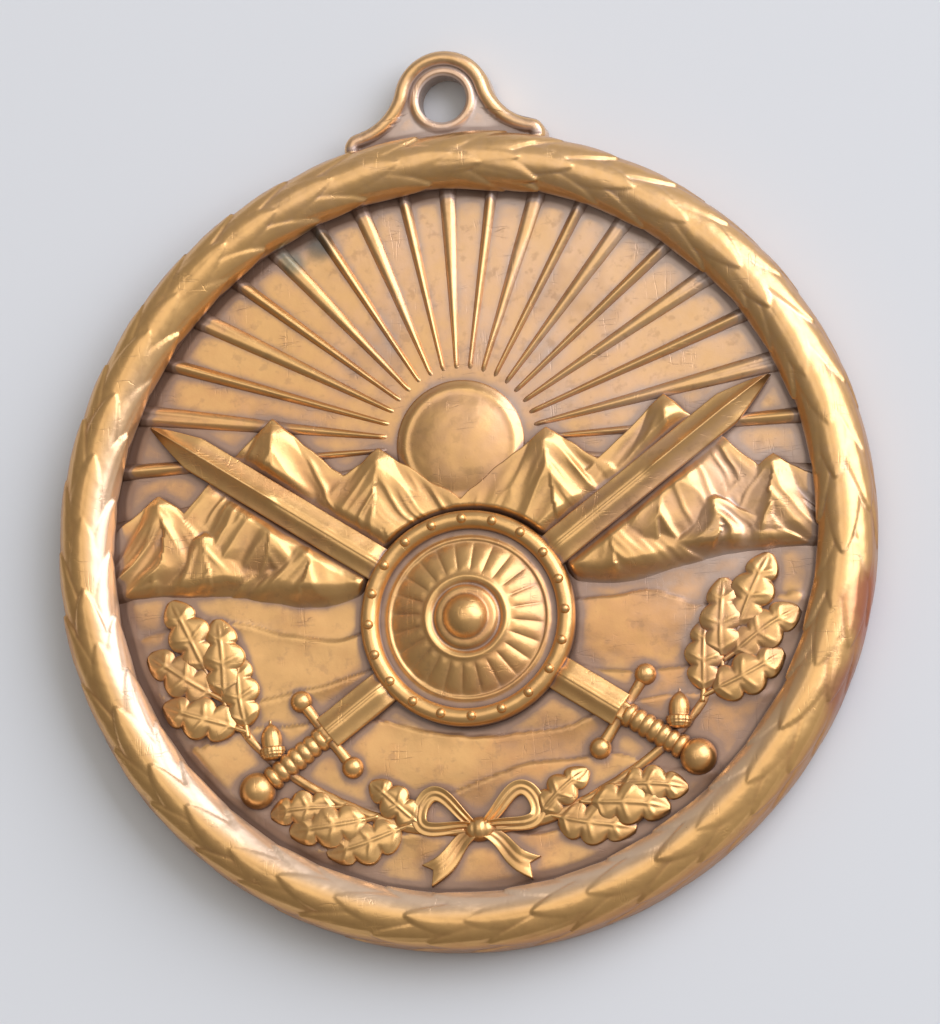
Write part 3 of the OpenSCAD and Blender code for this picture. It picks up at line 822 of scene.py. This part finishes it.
def blade(start, end, pointed):
    """A length of blade along +X: two hollow-ground faces that meet in a worn ridge."""

    def shape(u, v):
        along = lerp(start, end, u)
        side = 2 * v - 1
        inner = unit(abs(side) / 0.86)
        to_tip = unit((TIP_T - along) / POINT_L) if pointed else np.ones_like(u)
        half = BLADE_W / 2 * to_tip ** 0.85
        width = half * np.sign(side) * (inner + 0.05 * smooth(0.86, 1, abs(side)))
        # The blade runs down under the shield's rim, and thins towards its point
        ridge = BLADE_H * lerp(0.5, 1.1, to_tip ** 0.6)
        ridge = ridge * lerp(0.72, 1, smooth(4.3, 5.2, abs(along)))
        edge = 0.52 * ridge
        h = lerp(ridge, edge, inner ** 0.85) - 0.05 * np.sin(inner * pi) * to_tip
        # A narrow fuller beside the hilt, and nicks along the edges
        fuller = 0.13 * hump(side, 0, 0.16) * smooth(GUARD_T + 2.6, GUARD_T + 1.8, abs(along))
        h = h - fuller + 0.012 * lumps(along * 1.6, side * 2)
        h = lerp(h, -SUNK, smooth(0.87, 0.99, abs(side)))
        h = np.where(at_end(u), -SUNK, h)
        return (*turned(along, width, SWORD_SLOPE, (0, SHIELD_Y)), h)

    return embossed(90 if pointed else 50, 32, shape)


def hilt_part(profile, along, across=0, quarter=False, steps=40):
    """A turned part of the hilt: lies along the sword, or across it as the guard does."""
    bm = lathe(profile, steps)
    x, y, z = read(bm).T
    origin = turned(-along, across, SWORD_SLOPE, (0, SHIELD_Y))
    px, py = turned(z, y, SWORD_SLOPE + (90 if quarter else 0), origin)
    return write(bm, px, py, FIELD_Z + HILT_LIFT + x)


def bulb(r, steps=14, start=0.0):
    """Profile of a ball, from one pole to the other."""
    turns = [pi * k / steps for k in range(steps + 1)]
    return [(abs(r * math.sin(a)), start - r * math.cos(a)) for a in turns]


BLOCK = [(0, -0.42), (0.42, -0.4), (0.52, -0.3), (0.46, -0.2), (0.5, 0),
         (0.46, 0.2), (0.52, 0.3), (0.42, 0.4), (0, 0.42)]
FERRULE = [(0, -0.2), (0.5, -0.2), (0.56, -0.08), (0.56, 0.08), (0.5, 0.2), (0, 0.2)]


def sword(mirrored):
    """One sword, with its point to the upper right, or to the upper left when mirrored."""
    turns, turn_steps, bar_steps = 7, 8, 30
    grip = [(0, -0.1)]
    for k in range(turns * turn_steps + 1):
        t = k / turn_steps / turns
        swell = 0.88 + 0.12 * math.sin(pi * t)
        wire = abs(math.sin(pi * turns * t)) ** 0.6
        grip.append((GRIP_R * swell * (0.80 + 0.17 * wire), GRIP_L * t + 0.1))
    grip.append((0, GRIP_L + 0.4))
    bar = [(0, -GUARD_L / 2)]
    for k in range(bar_steps + 1):
        t = 2 * k / bar_steps - 1
        swell = 0.62 + 0.34 * hump(t, 0, 0.25) + 0.16 * abs(t) ** 2
        bar.append((GUARD_R * swell, t * GUARD_L / 2))
    bar.append((0, GUARD_L / 2))
    ball = bulb(GUARD_R * 1.3)
    parts = [
        blade(-GUARD_T, 0.35 - SHIELD_R, False),
        blade(SHIELD_R - 0.35, TIP_T, True),
        hilt_part(grip, POMMEL_T - POMMEL_R * 0.7),
        hilt_part(FERRULE, GUARD_T + 0.35),
        hilt_part(FERRULE, POMMEL_T - POMMEL_R - 0.05),
        hilt_part(bulb(POMMEL_R * 0.96), POMMEL_T),
        hilt_part(BLOCK, GUARD_T, 0, True),
        hilt_part(bar, GUARD_T, 0, True),
        hilt_part(ball, GUARD_T, GUARD_L / 2, True, 32),
        hilt_part(ball, GUARD_T, -GUARD_L / 2, True, 32),
    ]
    return joined(parts, mirrored)


# ---- shield

SHIELD_RIM_W = 0.8
SHIELD_RIM_H = 0.8
DOME_H = 1.05
BOSS_R = 1.1
GADROONS = 24
RIVETS = 20
RIVET_R = 0.22


def shield_height(r):
    rim_r = SHIELD_RIM_W / 2
    inner = SHIELD_R - SHIELD_RIM_W
    from_rim = r - SHIELD_R + rim_r
    bead = SHIELD_RIM_H - rim_r + round_back(from_rim, rim_r)
    bead = np.where(abs(from_rim) < rim_r, bead, 0)
    dome_r = (inner ** 2 + DOME_H ** 2) / (2 * DOME_H)
    dome = DOME_H - dome_r + round_back(r, dome_r)
    dome = np.maximum(dome, SHIELD_RIM_H * 0.35) * (r < inner + 0.1)
    boss = DOME_H - BOSS_R * 0.52 + round_back(r, BOSS_R)
    boss = np.where(r < BOSS_R, boss, 0)
    groove = 0.15 * hump(r, BOSS_R * 1.32, 0.12)
    bands = 0.06 * hump(r, BOSS_R * 1.62, 0.09) + 0.07 * hump(r, inner - 0.42, 0.12)
    return np.maximum(np.maximum(bead, dome - groove + bands), boss)


def make_shield():
    # Points of the face carry the mark 1 until their height is known
    fine = np.concatenate([np.linspace(0, 3.2, 62), np.linspace(3.25, SHIELD_R - 0.012, 48)])
    profile = [(r, 1.0) for r in fine] + [(SHIELD_R, 0.4), (SHIELD_R, -SUNK)]
    profile += [(SHIELD_R * 0.6, -SUNK * 2), (0, -SUNK * 2)]
    bm = lathe(profile, 384)
    x, y, z = read(bm).T
    r = np.hypot(x, y)
    h = shield_height(r)
    # Gadroons spread from the boss over the hollow of the dome
    angle = np.arctan2(y, x)
    window = smooth(BOSS_R * 1.75, BOSS_R * 2.05, r) * smooth(3.45, 3.0, r)
    h = h + window * 0.07 * (abs(np.cos(GADROONS / 2 * angle)) ** 0.7 - 0.6)
    h = h + 0.014 * rough(x, y, 1.1, 11.0)
    z = np.where(z > 0.99, h, z)
    write(bm, x, y + SHIELD_Y, FIELD_Z + z)
    parts = [bm]
    ring = SHIELD_R - SHIELD_RIM_W / 2
    for i in range(RIVETS):
        a = 2 * pi * i / RIVETS
        rivet = lathe(bulb(RIVET_R, 10, SHIELD_RIM_H - 0.04), 20)
        parts.append(placed(rivet, (ring * math.cos(a), SHIELD_Y + ring * math.sin(a))))
    piece("bossed_shield", joined(parts), "relief_bronze", "round_shield")


# ---- oak sprays

OAK_L = 3.5
OAK_W = 2.0
OAK_H = 0.6
LEAF_LEAN = 30
STALK = 0.35
STEM_W = 0.6
STEM_FROM, STEM_TO = 267, 202.5
ACORN_D = 1.15
# Leaves along the left stem: bearing from the disc's middle, side, size, height
OAK_LEAVES = [(259, -1, 0.8, 0.9), (256, 1, 1, 0.8), (249, 1, 1, 1), (242.5, 1, 0.85, 0.85),
              (218, -1, 0.9, 0.85), (217, 1, 1, 0.95), (210.5, -1, 1, 1), (209, 1, 1, 0.8),
              (204, 0, 1, 0.9)]
ACORN = [(0, 0), (0.3, 0.04), (0.42, 0.12), (0.48, 0.22), (0.51, 0.34), (0.5, 0.46), (0.44, 0.52),
         (0.40, 0.53), (0.41, 0.64), (0.42, 0.8), (0.40, 0.96), (0.36, 1.1), (0.29, 1.22),
         (0.2, 1.33), (0.1, 1.4), (0.06, 1.44), (0.045, 1.56), (0, 1.6)]


def on_spray(at, side, lean, x, y):
    """Moves points along +X to the stem at a bearing, turned towards its tip and to a side."""
    lx, ly = turned(x, y, -90 + side * lean)
    return turned(lx + SPRAY_R, ly, at)


def oak_half(u):
    body = np.sin(pi * lerp(0.04, 0.97, unit(u) ** 0.85)) ** 0.6
    return OAK_W / 2 * body * (0.62 + 0.38 * abs(np.sin(3 * pi * u)) ** 0.55)


def oak_leaf(at, side, size, high, seed):
    def shape(u, v):
        across = 2 * v - 1
        w = abs(across)
        inner = unit(w / 0.92)
        half = oak_half(u) * (inner + 0.03 * smooth(0.92, 1, w)) * np.sign(across)
        # The blade swells between its veins and curls down at its lobes and its tip
        body = lerp(0.62, 1, np.sin(pi * unit(u) ** 0.8))
        body = body * lerp(1, 0.62, inner ** 2.4) * lerp(1, 0.78, smooth(0.7, 1, u))
        midrib = 0.06 * hump(half, 0, 0.08) * smooth(1.0, 0.75, u)
        trough = -0.05 * hump(half, 0, 0.22)
        veins = sum(hump(u, k + 0.12 * inner, 0.03) for k in (0.08, 0.41, 0.72))
        veins = 0.035 * veins * smooth(0.02, 0.15, inner) * smooth(0.9, 0.6, inner)
        sinus = -0.09 * (1 - abs(np.sin(3 * pi * u)) ** 0.5) * smooth(0.2, 1, inner)
        h = OAK_H * high * body + midrib + trough + veins + sinus
        h = h + 0.02 * lumps(u * 5 + seed, across * 2 - seed) - 0.05
        h = np.where((w > 0.93) | at_end(u), -SUNK, h)
        bend = 0.22 * np.sin(2.4 * u + seed) * u
        along, aside = STALK + OAK_L * size * u, size * (half + bend * (side or 0.5))
        return (*on_spray(at, side, LEAF_LEAN, along, aside), h)

    return embossed(64, 34, shape)


def leaf_stalk(at, side):
    def shape(u, v):
        across = 2 * v - 1
        h = np.where(abs(across) > 0.99, -SUNK, 0.2 * round_back(across, 1) + 0.1)
        return (*on_spray(at, side, LEAF_LEAN, lerp(-0.15, STALK + 0.5, u), 0.14 * across), h)

    return embossed(8, 10, shape)


def spray_stem():
    def shape(u, v):
        across = 2 * v - 1
        bearing = np.radians(lerp(STEM_FROM, STEM_TO, u))
        thick = STEM_W / 2 * lerp(1.05, 0.6, u) * (1 + 0.06 * lumps(u * 40, across * 2))
        r = SPRAY_R + thick * across + 0.05 * np.sin(u * 11)
        h = thick * round_back(across, 1) * 1.05 - 0.02
        h = np.where(abs(across) > 0.99, -SUNK, h)
        return r * np.cos(bearing), r * np.sin(bearing), h

    return embossed(150, 14, shape)


def acorn(at, side, lean):
    fine = []
    for (r0, z0), (r1, z1) in zip(ACORN, ACORN[1:]):
        fine += [(lerp(r0, r1, k / 3), lerp(z0, z1, k / 3)) for k in range(3)]
    fine.append(ACORN[-1])
    bm = lathe([(r * ACORN_D, z * ACORN_D) for r, z in fine], 64)
    x, y, z = read(bm).T
    angle, along = np.arctan2(y, x), z / ACORN_D
    # The cup is scaled like a pine cone, and the nut is finely ribbed
    scales = np.sin(9 * angle + along * 26) * np.sin(9 * angle - along * 26)
    scales, ribs = 0.07 * scales * smooth(0.05, 0.15, along), 0.012 * np.cos(24 * angle)
    grow = 1 + np.where(along < 0.5, scales, ribs)
    px, py = on_spray(at, side, lean, z, y * grow)
    return write(bm, px, py, FIELD_Z + x * grow + 0.04)


def oak_spray(mirrored):
    parts = [spray_stem()]
    for k, (at, side, size, high) in enumerate(OAK_LEAVES):
        parts.append(leaf_stalk(at, side))
        parts.append(oak_leaf(at, side, size, high, 1.3 * k + (20 if mirrored else 0)))
    parts.append(acorn(225.5, -1, 42))
    return joined(parts, mirrored)


# ---- ribbon bow

LOOP_L = 3.1
LOOP_W = 2.2
LOOP_LIFT = 24
TAIL_LIFT = -38
BOW_Y = -SPRAY_R


def ribbon(path, width, height):
    """Shape of a band along path(u) = x, y, with a tilting surface and raised edges."""

    def shape(u, v):
        side, step = 2 * v - 1, 1e-3
        (x, y), (x1, y1), (x2, y2) = path(u), path(u + step), path(u - step)
        tx, ty = x1 - x2, y1 - y2
        norm = np.hypot(tx, ty) + 1e-12
        half = width(u)
        inner = unit(abs(side) / 0.9) * np.sign(side)
        h = height(u, inner) + 0.035 * smooth(0.7, 0.95, abs(inner))
        h = np.where(abs(side) > 0.92, -SUNK, h + 0.015 * np.cos(inner * 9.4))
        return x - ty / norm * half * inner, y + tx / norm * half * inner, h

    return shape


def loop_path(u):
    s = pi * lerp(0.03, 0.97, u)
    x = (LOOP_L - 0.36) * abs(np.sin(s)) ** 0.8
    y = -(LOOP_W / 2 - 0.24) * np.sin(2 * s) * abs(np.sin(s)) ** 0.3
    return x, y


def loop_width(u):
    return 0.34 * lerp(0.55, 1, abs(np.sin(pi * u)) ** 0.6)


def loop_height(u, v):
    h = 0.36 + 0.11 * v * np.cos(pi * u) - 0.06 * hump(u, 0.5, 0.2)
    return h + 0.05 * np.cos(v * 6) * (1 - abs(np.sin(pi * u)) ** 0.5)


def tail_path(u):
    return 3.0 * u, 0.13 * np.sin(u * 6.5)


def tail_width(u):
    return lerp(0.26, 0.54, u)


def tail_height(u, v):
    return 0.3 + 0.07 * np.cos(u * 8 + v * 0.8) - 0.05 * u


def make_bow():
    loop = ribbon(loop_path, loop_width, loop_height)
    tail = ribbon(tail_path, tail_width, tail_height)
    parts = []
    for side in (-1, 1):
        for shape, lift, cells in ((loop, LOOP_LIFT, 110), (tail, TAIL_LIFT, 60)):

            def laid_out(u, v):
                x, y, h = shape(u, v)
                if shape is tail:
                    # The end is cut in a notch
                    w = abs(2 * v - 1)
                    x = x + (0.12 * w - 0.3 * (1 - w)) * smooth(0.7, 1, u)
                    h = np.where(u > 0.999, -SUNK, h)
                x, y = turned(x, y, lift)
                return side * x, y + BOW_Y, h

            parts.append(embossed(cells, 16, laid_out))
    dome = [(math.sin(pi / 2 * k / 14), math.cos(pi / 2 * k / 14)) for k in range(15)]
    knot = lathe(dome + [(1, -0.3), (0, -0.3)], 48)
    x, y, z = read(knot).T
    crease = 1 - 0.10 * hump(x, -0.3, 0.1) - 0.10 * hump(x, 0.34, 0.1)
    write(knot, x, y, z * crease)
    parts.append(placed(knot, (0, BOW_Y), (0.72, 0.56, 0.58)))
    piece("ribbon_knot", joined(parts), "relief_bronze", "ribbon_bow")


# ---- everything


place_camera()
light_studio()
make_disc()
make_wreath()
make_lug()
make_sun()
make_rays()
make_range()
for hand in ("left", "right"):
    piece("crossed_sword_" + hand, sword(hand == "right"), "relief_bronze", "sword_" + hand)
make_shield()
for hand in ("left", "right"):
    piece("oak_branch_" + hand, oak_spray(hand == "right"), "relief_bronze", "oak_spray_" + hand)
make_bow()


# ---- hollows


CELL = 0.08
MAP_LOW, MAP_HIGH = -19.0, 23.0
MAP_N = int((MAP_HIGH - MAP_LOW) / CELL)
# How far around each kind of hollow looks, and the most that it counts
HOLLOWS = [("hollow", 0.22), ("basin", 0.8)]
DEEPEST = 0.6
# How deep the wall of the lug's hole counts, which paints shade there
HOLE_SHADE = 0.3
RUBBED = -0.12
LUG_MIDDLE_Y = 15


def blurred(field, radius):
    """Gaussian blur of a height map along both axes."""
    n = int(3 * radius) + 1
    kernel = np.exp(-0.5 * (np.arange(-n, n + 1) / radius) ** 2)
    kernel /= kernel.sum()
    for axis in (0, 1):
        padded = np.pad(field, [(n, n) if a == axis else (0, 0) for a in (0, 1)], mode="edge")
        field = np.apply_along_axis(lambda row: np.convolve(row, kernel, "valid"), axis, padded)
    return field


def height_map():
    """Height of the whole medal in each cell, seen from above."""
    whole = bmesh.new()
    for obj in pieces:
        whole.from_mesh(obj.data)
    tree = BVHTree.FromBMesh(whole)
    whole.free()
    heights = np.zeros((MAP_N, MAP_N))
    down = Vector((0, 0, -1))
    places = [(MAP_LOW + (i + 0.5) * CELL) * MM for i in range(MAP_N)]
    for i, x in enumerate(places):
        for j, y in enumerate(places):
            hit = tree.ray_cast(Vector((x, y, 0.01)), down)[0]
            if hit:
                heights[i, j] = hit.z / MM
    return heights


def of_vertices(mesh, key):
    """Places or normals of the vertices, as three arrays."""
    values = np.empty(len(mesh.vertices) * 3)
    mesh.vertices.foreach_get(key, values)
    return values.reshape(-1, 3).T


def store(mesh, name, values):
    data = mesh.attributes.new(name, "FLOAT", "POINT").data
    data.foreach_set("value", values.astype(np.float32))


def mark_hollows():
    """Stores on every vertex what the patina depends on.

    "hollow" and "basin" are its depth below its close and its wider surroundings in
    millimetres, negative on high points. "flank" is 1 where the outer side of the medal is
    steep, and "inner" is 1 on the inner side of the wreath.
    """
    heights = height_map()
    solid = (heights > 0).astype(float)
    around = {name: blurred(heights, size / CELL) / (blurred(solid, size / CELL) + 1e-6)
              for name, size in HOLLOWS}
    for obj in pieces:
        mesh = obj.data
        x, y, z = of_vertices(mesh, "co") / MM
        east, north, up = of_vertices(mesh, "normal")
        r, from_hole = np.hypot(x, y), np.hypot(x, y - HOLE_Y)
        below_lug = y < HOLE_Y - 2
        lug = obj.name == "ogee_lug"
        outward = smooth(RING_R + 0.4, DISC_R - 0.2, r) * below_lug
        store(mesh, "flank", outward * (1 - unit(up)))
        inward = smooth(RING_R + 0.1, RING_R - 0.75, r)
        store(mesh, "inner", inward * (obj.name == "laurel_garland"))
        i, j = (x - MAP_LOW) / CELL - 0.5, (y - MAP_LOW) / CELL - 0.5
        i0, j0 = (np.clip(np.floor(k).astype(int), 0, MAP_N - 2) for k in (i, j))
        # The reverse and the flanks of the edge have no relief above them
        lowest = PLATE_HIGH - 0.12 if lug else FIELD_Z - 0.45
        for name, field in around.items():
            level = between([[field[i0 + a, j0 + b] for b in (0, 1)] for a in (0, 1)],
                            i - i0, j - j0)
            value = np.where(z > lowest, np.clip(level - z, -DEEPEST, DEEPEST), 0)
            # The outer side of the wreath is open to rubbing, though it lies below the crown
            open_side = smooth(RING_R - 0.1, RING_R + 0.9, r) * below_lug
            if lug:
                # The groove inside the lug's bead is narrow, but dark
                if name == "hollow":
                    value = np.where(value > 0.02, value * 2, value)
                # Painted shade: the wall of the hole is marked as a deep hollow, so it is painted
                # dark
                shaded_hole_wall = (z < PLATE_HIGH) & (z > PLATE_LOW + 0.05) & (from_hole < HOLE_R + 0.03)
                value = np.where(shaded_hole_wall, HOLE_SHADE, value)
            value = np.where(value > 0, value * (1 - open_side), value)
            if lug:
                # The lug is rubbed bright all along the outer side of its edge
                outer = (x * east + (y - LUG_MIDDLE_Y) * north > 0) & (from_hole > HOLE_R + 0.55)
                value = lerp(value, RUBBED, smooth(0.95, 0.6, abs(up)) * outer)
            store(mesh, name, value)


mark_hollows()


# ---- materials


GOLDEN = (0.75, 0.425, 0.14)
# Painted reflection colour for the inner side of the wreath
REFLECTION_CREAM = (0.70, 0.53, 0.40)
BROWN = (0.67, 0.37, 0.13)
COPPER = (0.64, 0.31, 0.105)
# Painted shade colour for the steep outer flank
FLANK_SHADE_RUSSET = (0.46, 0.20, 0.06)
# Painted sheen colour, laid over the upper right
SHEEN_ROSE = (0.78, 0.54, 0.38)
UMBER = (0.36, 0.19, 0.085)
MAUVE = (0.28, 0.165, 0.11)
# Painted sheen colour for the recesses under the painted sheen
SHEEN_MAUVE = (0.58, 0.45, 0.37)
DARK = (0.15, 0.072, 0.038)
# Red-brown on the rim low on the right, and green and black under the wreath at the upper
# left: middle, radius, colour
STAINS = [((17.5, -4.6, 1.3), 2.4, (0.42, 0.10, 0.05)),
          ((16.3, -7.8, 1.2), 2.0, (0.36, 0.12, 0.07)),
          ((-7.0, 12.9, 1.8), 0.9, (0.05, 0.11, 0.08)),
          ((-5.9, 13.5, 1.8), 1.0, (0.04, 0.05, 0.04))]


def bronze(name, crease, rub, level):
    """Struck bronze: rubbed golden on high points, brown on the field, mauve to dark in recesses.

    crease and rub say how strongly small hollows and small high points count; level is how
    worn the whole surface is.
    """
    shop = Shop(name)
    where = shop.add("ShaderNodeTexCoord", {}, out=OBJECT_PLACE)
    hollow, basin, flank, inner = map(shop.attribute, ("hollow", "basin", "flank", "inner"))
    # Noise at three scales, and the same about zero
    cloud = shop.noise(where, 140, 4)
    mottle = shop.noise(where, 620, 4)
    fine = shop.noise(where, 2600, 3)
    drift, spots, grit = cloud - 0.5, mottle - 0.5, fine - 0.5
    # Recesses hold dark patina; noise breaks up the edges between the tones
    blotch = spots * 0.5 + drift * 0.6
    worn = (hollow * -rub + basin * -0.9 + blotch * -0.8 + level).step(0.0, 0.7)
    shallow = (hollow * crease + basin * 0.9 + blotch - level).step(0.05, 0.5)
    deep = (hollow * (crease * 1.5) + basin * 0.25 + blotch - level).step(0.6, 2.0)
    colour = shop.mix((cloud + spots * 0.6).step(0.35, 0.7), BROWN, COPPER)
    # Painted sheen: the upper right is painted rosy and paler, standing for the window's light
    # reflected there
    painted_sheen = shop.vector("DOT_PRODUCT", where, (18.0, 30.0, 0))
    painted_sheen = (painted_sheen + drift * 1.2 + spots * 0.4).step(0.0, 0.75)
    colour = shop.mix(painted_sheen * 0.8, colour, SHEEN_ROSE)
    # Brown specks and cloudy stains in the skin of the metal
    specks = shop.noise(where, 1500).step(0.54, 0.68) * 0.35
    specks = specks + shop.noise(where, 300, roughness=0.55).step(0.52, 0.72) * 0.4
    colour = shop.mix(specks, colour, UMBER)
    colour = shop.mix(worn * (0.75 + grit * 0.6), colour, GOLDEN)
    # Painted shade: the steep outer flank is painted a darker russet, as if it reflected dark
    # surroundings, and less so under the painted sheen
    painted_flank_shade = (flank + drift * 0.5).step(0.2, 0.9) * (painted_sheen * -0.45 + 0.9)
    colour = shop.mix(painted_flank_shade, colour, FLANK_SHADE_RUSSET)
    # Painted reflection: over its lower left half the inner side of the wreath is painted pale
    # and made duller, standing for the window's light reflected there
    painted_reflection = shop.vector("DOT_PRODUCT", where, (-20.0, -40.0, 0))
    painted_reflection = (painted_reflection + drift * 0.5).step(-0.3, 0.5) * inner
    colour = shop.mix(painted_reflection * 0.7, colour, REFLECTION_CREAM)
    # Mauve patina in the recesses, painted paler under the painted sheen
    colour = shop.mix(shallow * 0.9, colour, shop.mix(painted_sheen, MAUVE, SHEEN_MAUVE))
    # Dark patina in the recesses, painted lighter under the painted sheen
    colour = shop.mix(deep * (painted_sheen * -0.55 + 1), colour, DARK)
    for middle, size, tint in STAINS:
        size = size * MM
        near = shop.vector("DISTANCE", where, tuple(m * MM for m in middle))
        patch = (near + spots * (0.8 * size)).step(size, 0.45 * size)
        colour = shop.mix(patch * 0.75, colour, tint)
    # Fine scratches that cross at two slants
    lines = []
    for slant in ((2.2, 0.12, 1), (0.3, 1.9, 1)):
        drawn = shop.noise(shop.vector("MULTIPLY", where, slant, 0), 900, 2, 0.5)
        lines.append((drawn - 0.5).math("ABSOLUTE").step(0.012, 0.0))
    scratches = lines[0].math("MAXIMUM", lines[1]) * mottle.step(0.5, 0.65)
    grain = mottle * 0.6 + fine * 0.4 - scratches * 0.35
    return shop.finish(
        Base_Color=colour,
        Metallic=0.92 - shallow * 0.35 - deep * 0.1 - painted_reflection * 0.3,
        Roughness=0.37 + shallow * 0.08 + deep * 0.12 - worn * 0.04 + grit * 0.12 + spots * 0.14,
        Normal=shop.add("ShaderNodeBump", {}, Strength=0.45, Distance=0.00005, Height=grain),
        Coat_Weight=0.75 - flank * 0.6,
        Coat_Roughness=0.25)


# How strongly hollows and high points count on each finish, and how worn it is
FINISHES = {"struck_bronze": (5, 7, 0), "relief_bronze": (6, 6, 0.25),
            "wreath_bronze": (15, 12, 0.35)}

finishes = {name: bronze(name, *wear) for name, wear in FINISHES.items()}
for obj in pieces:
    obj.data.materials.append(finishes[slots[obj.name]])


def make_floor():
    bm = bmesh.new()
    bmesh.ops.create_grid(bm, x_segments=1, y_segments=1, size=1.5)
    floor = shown("floor", mesh_of("floor", bm))
    paint = Shop("floor_paint")
    floor.data.materials.append(paint.finish(Base_Color=(0.66, 0.66, 0.65), Roughness=0.9))


make_floor()
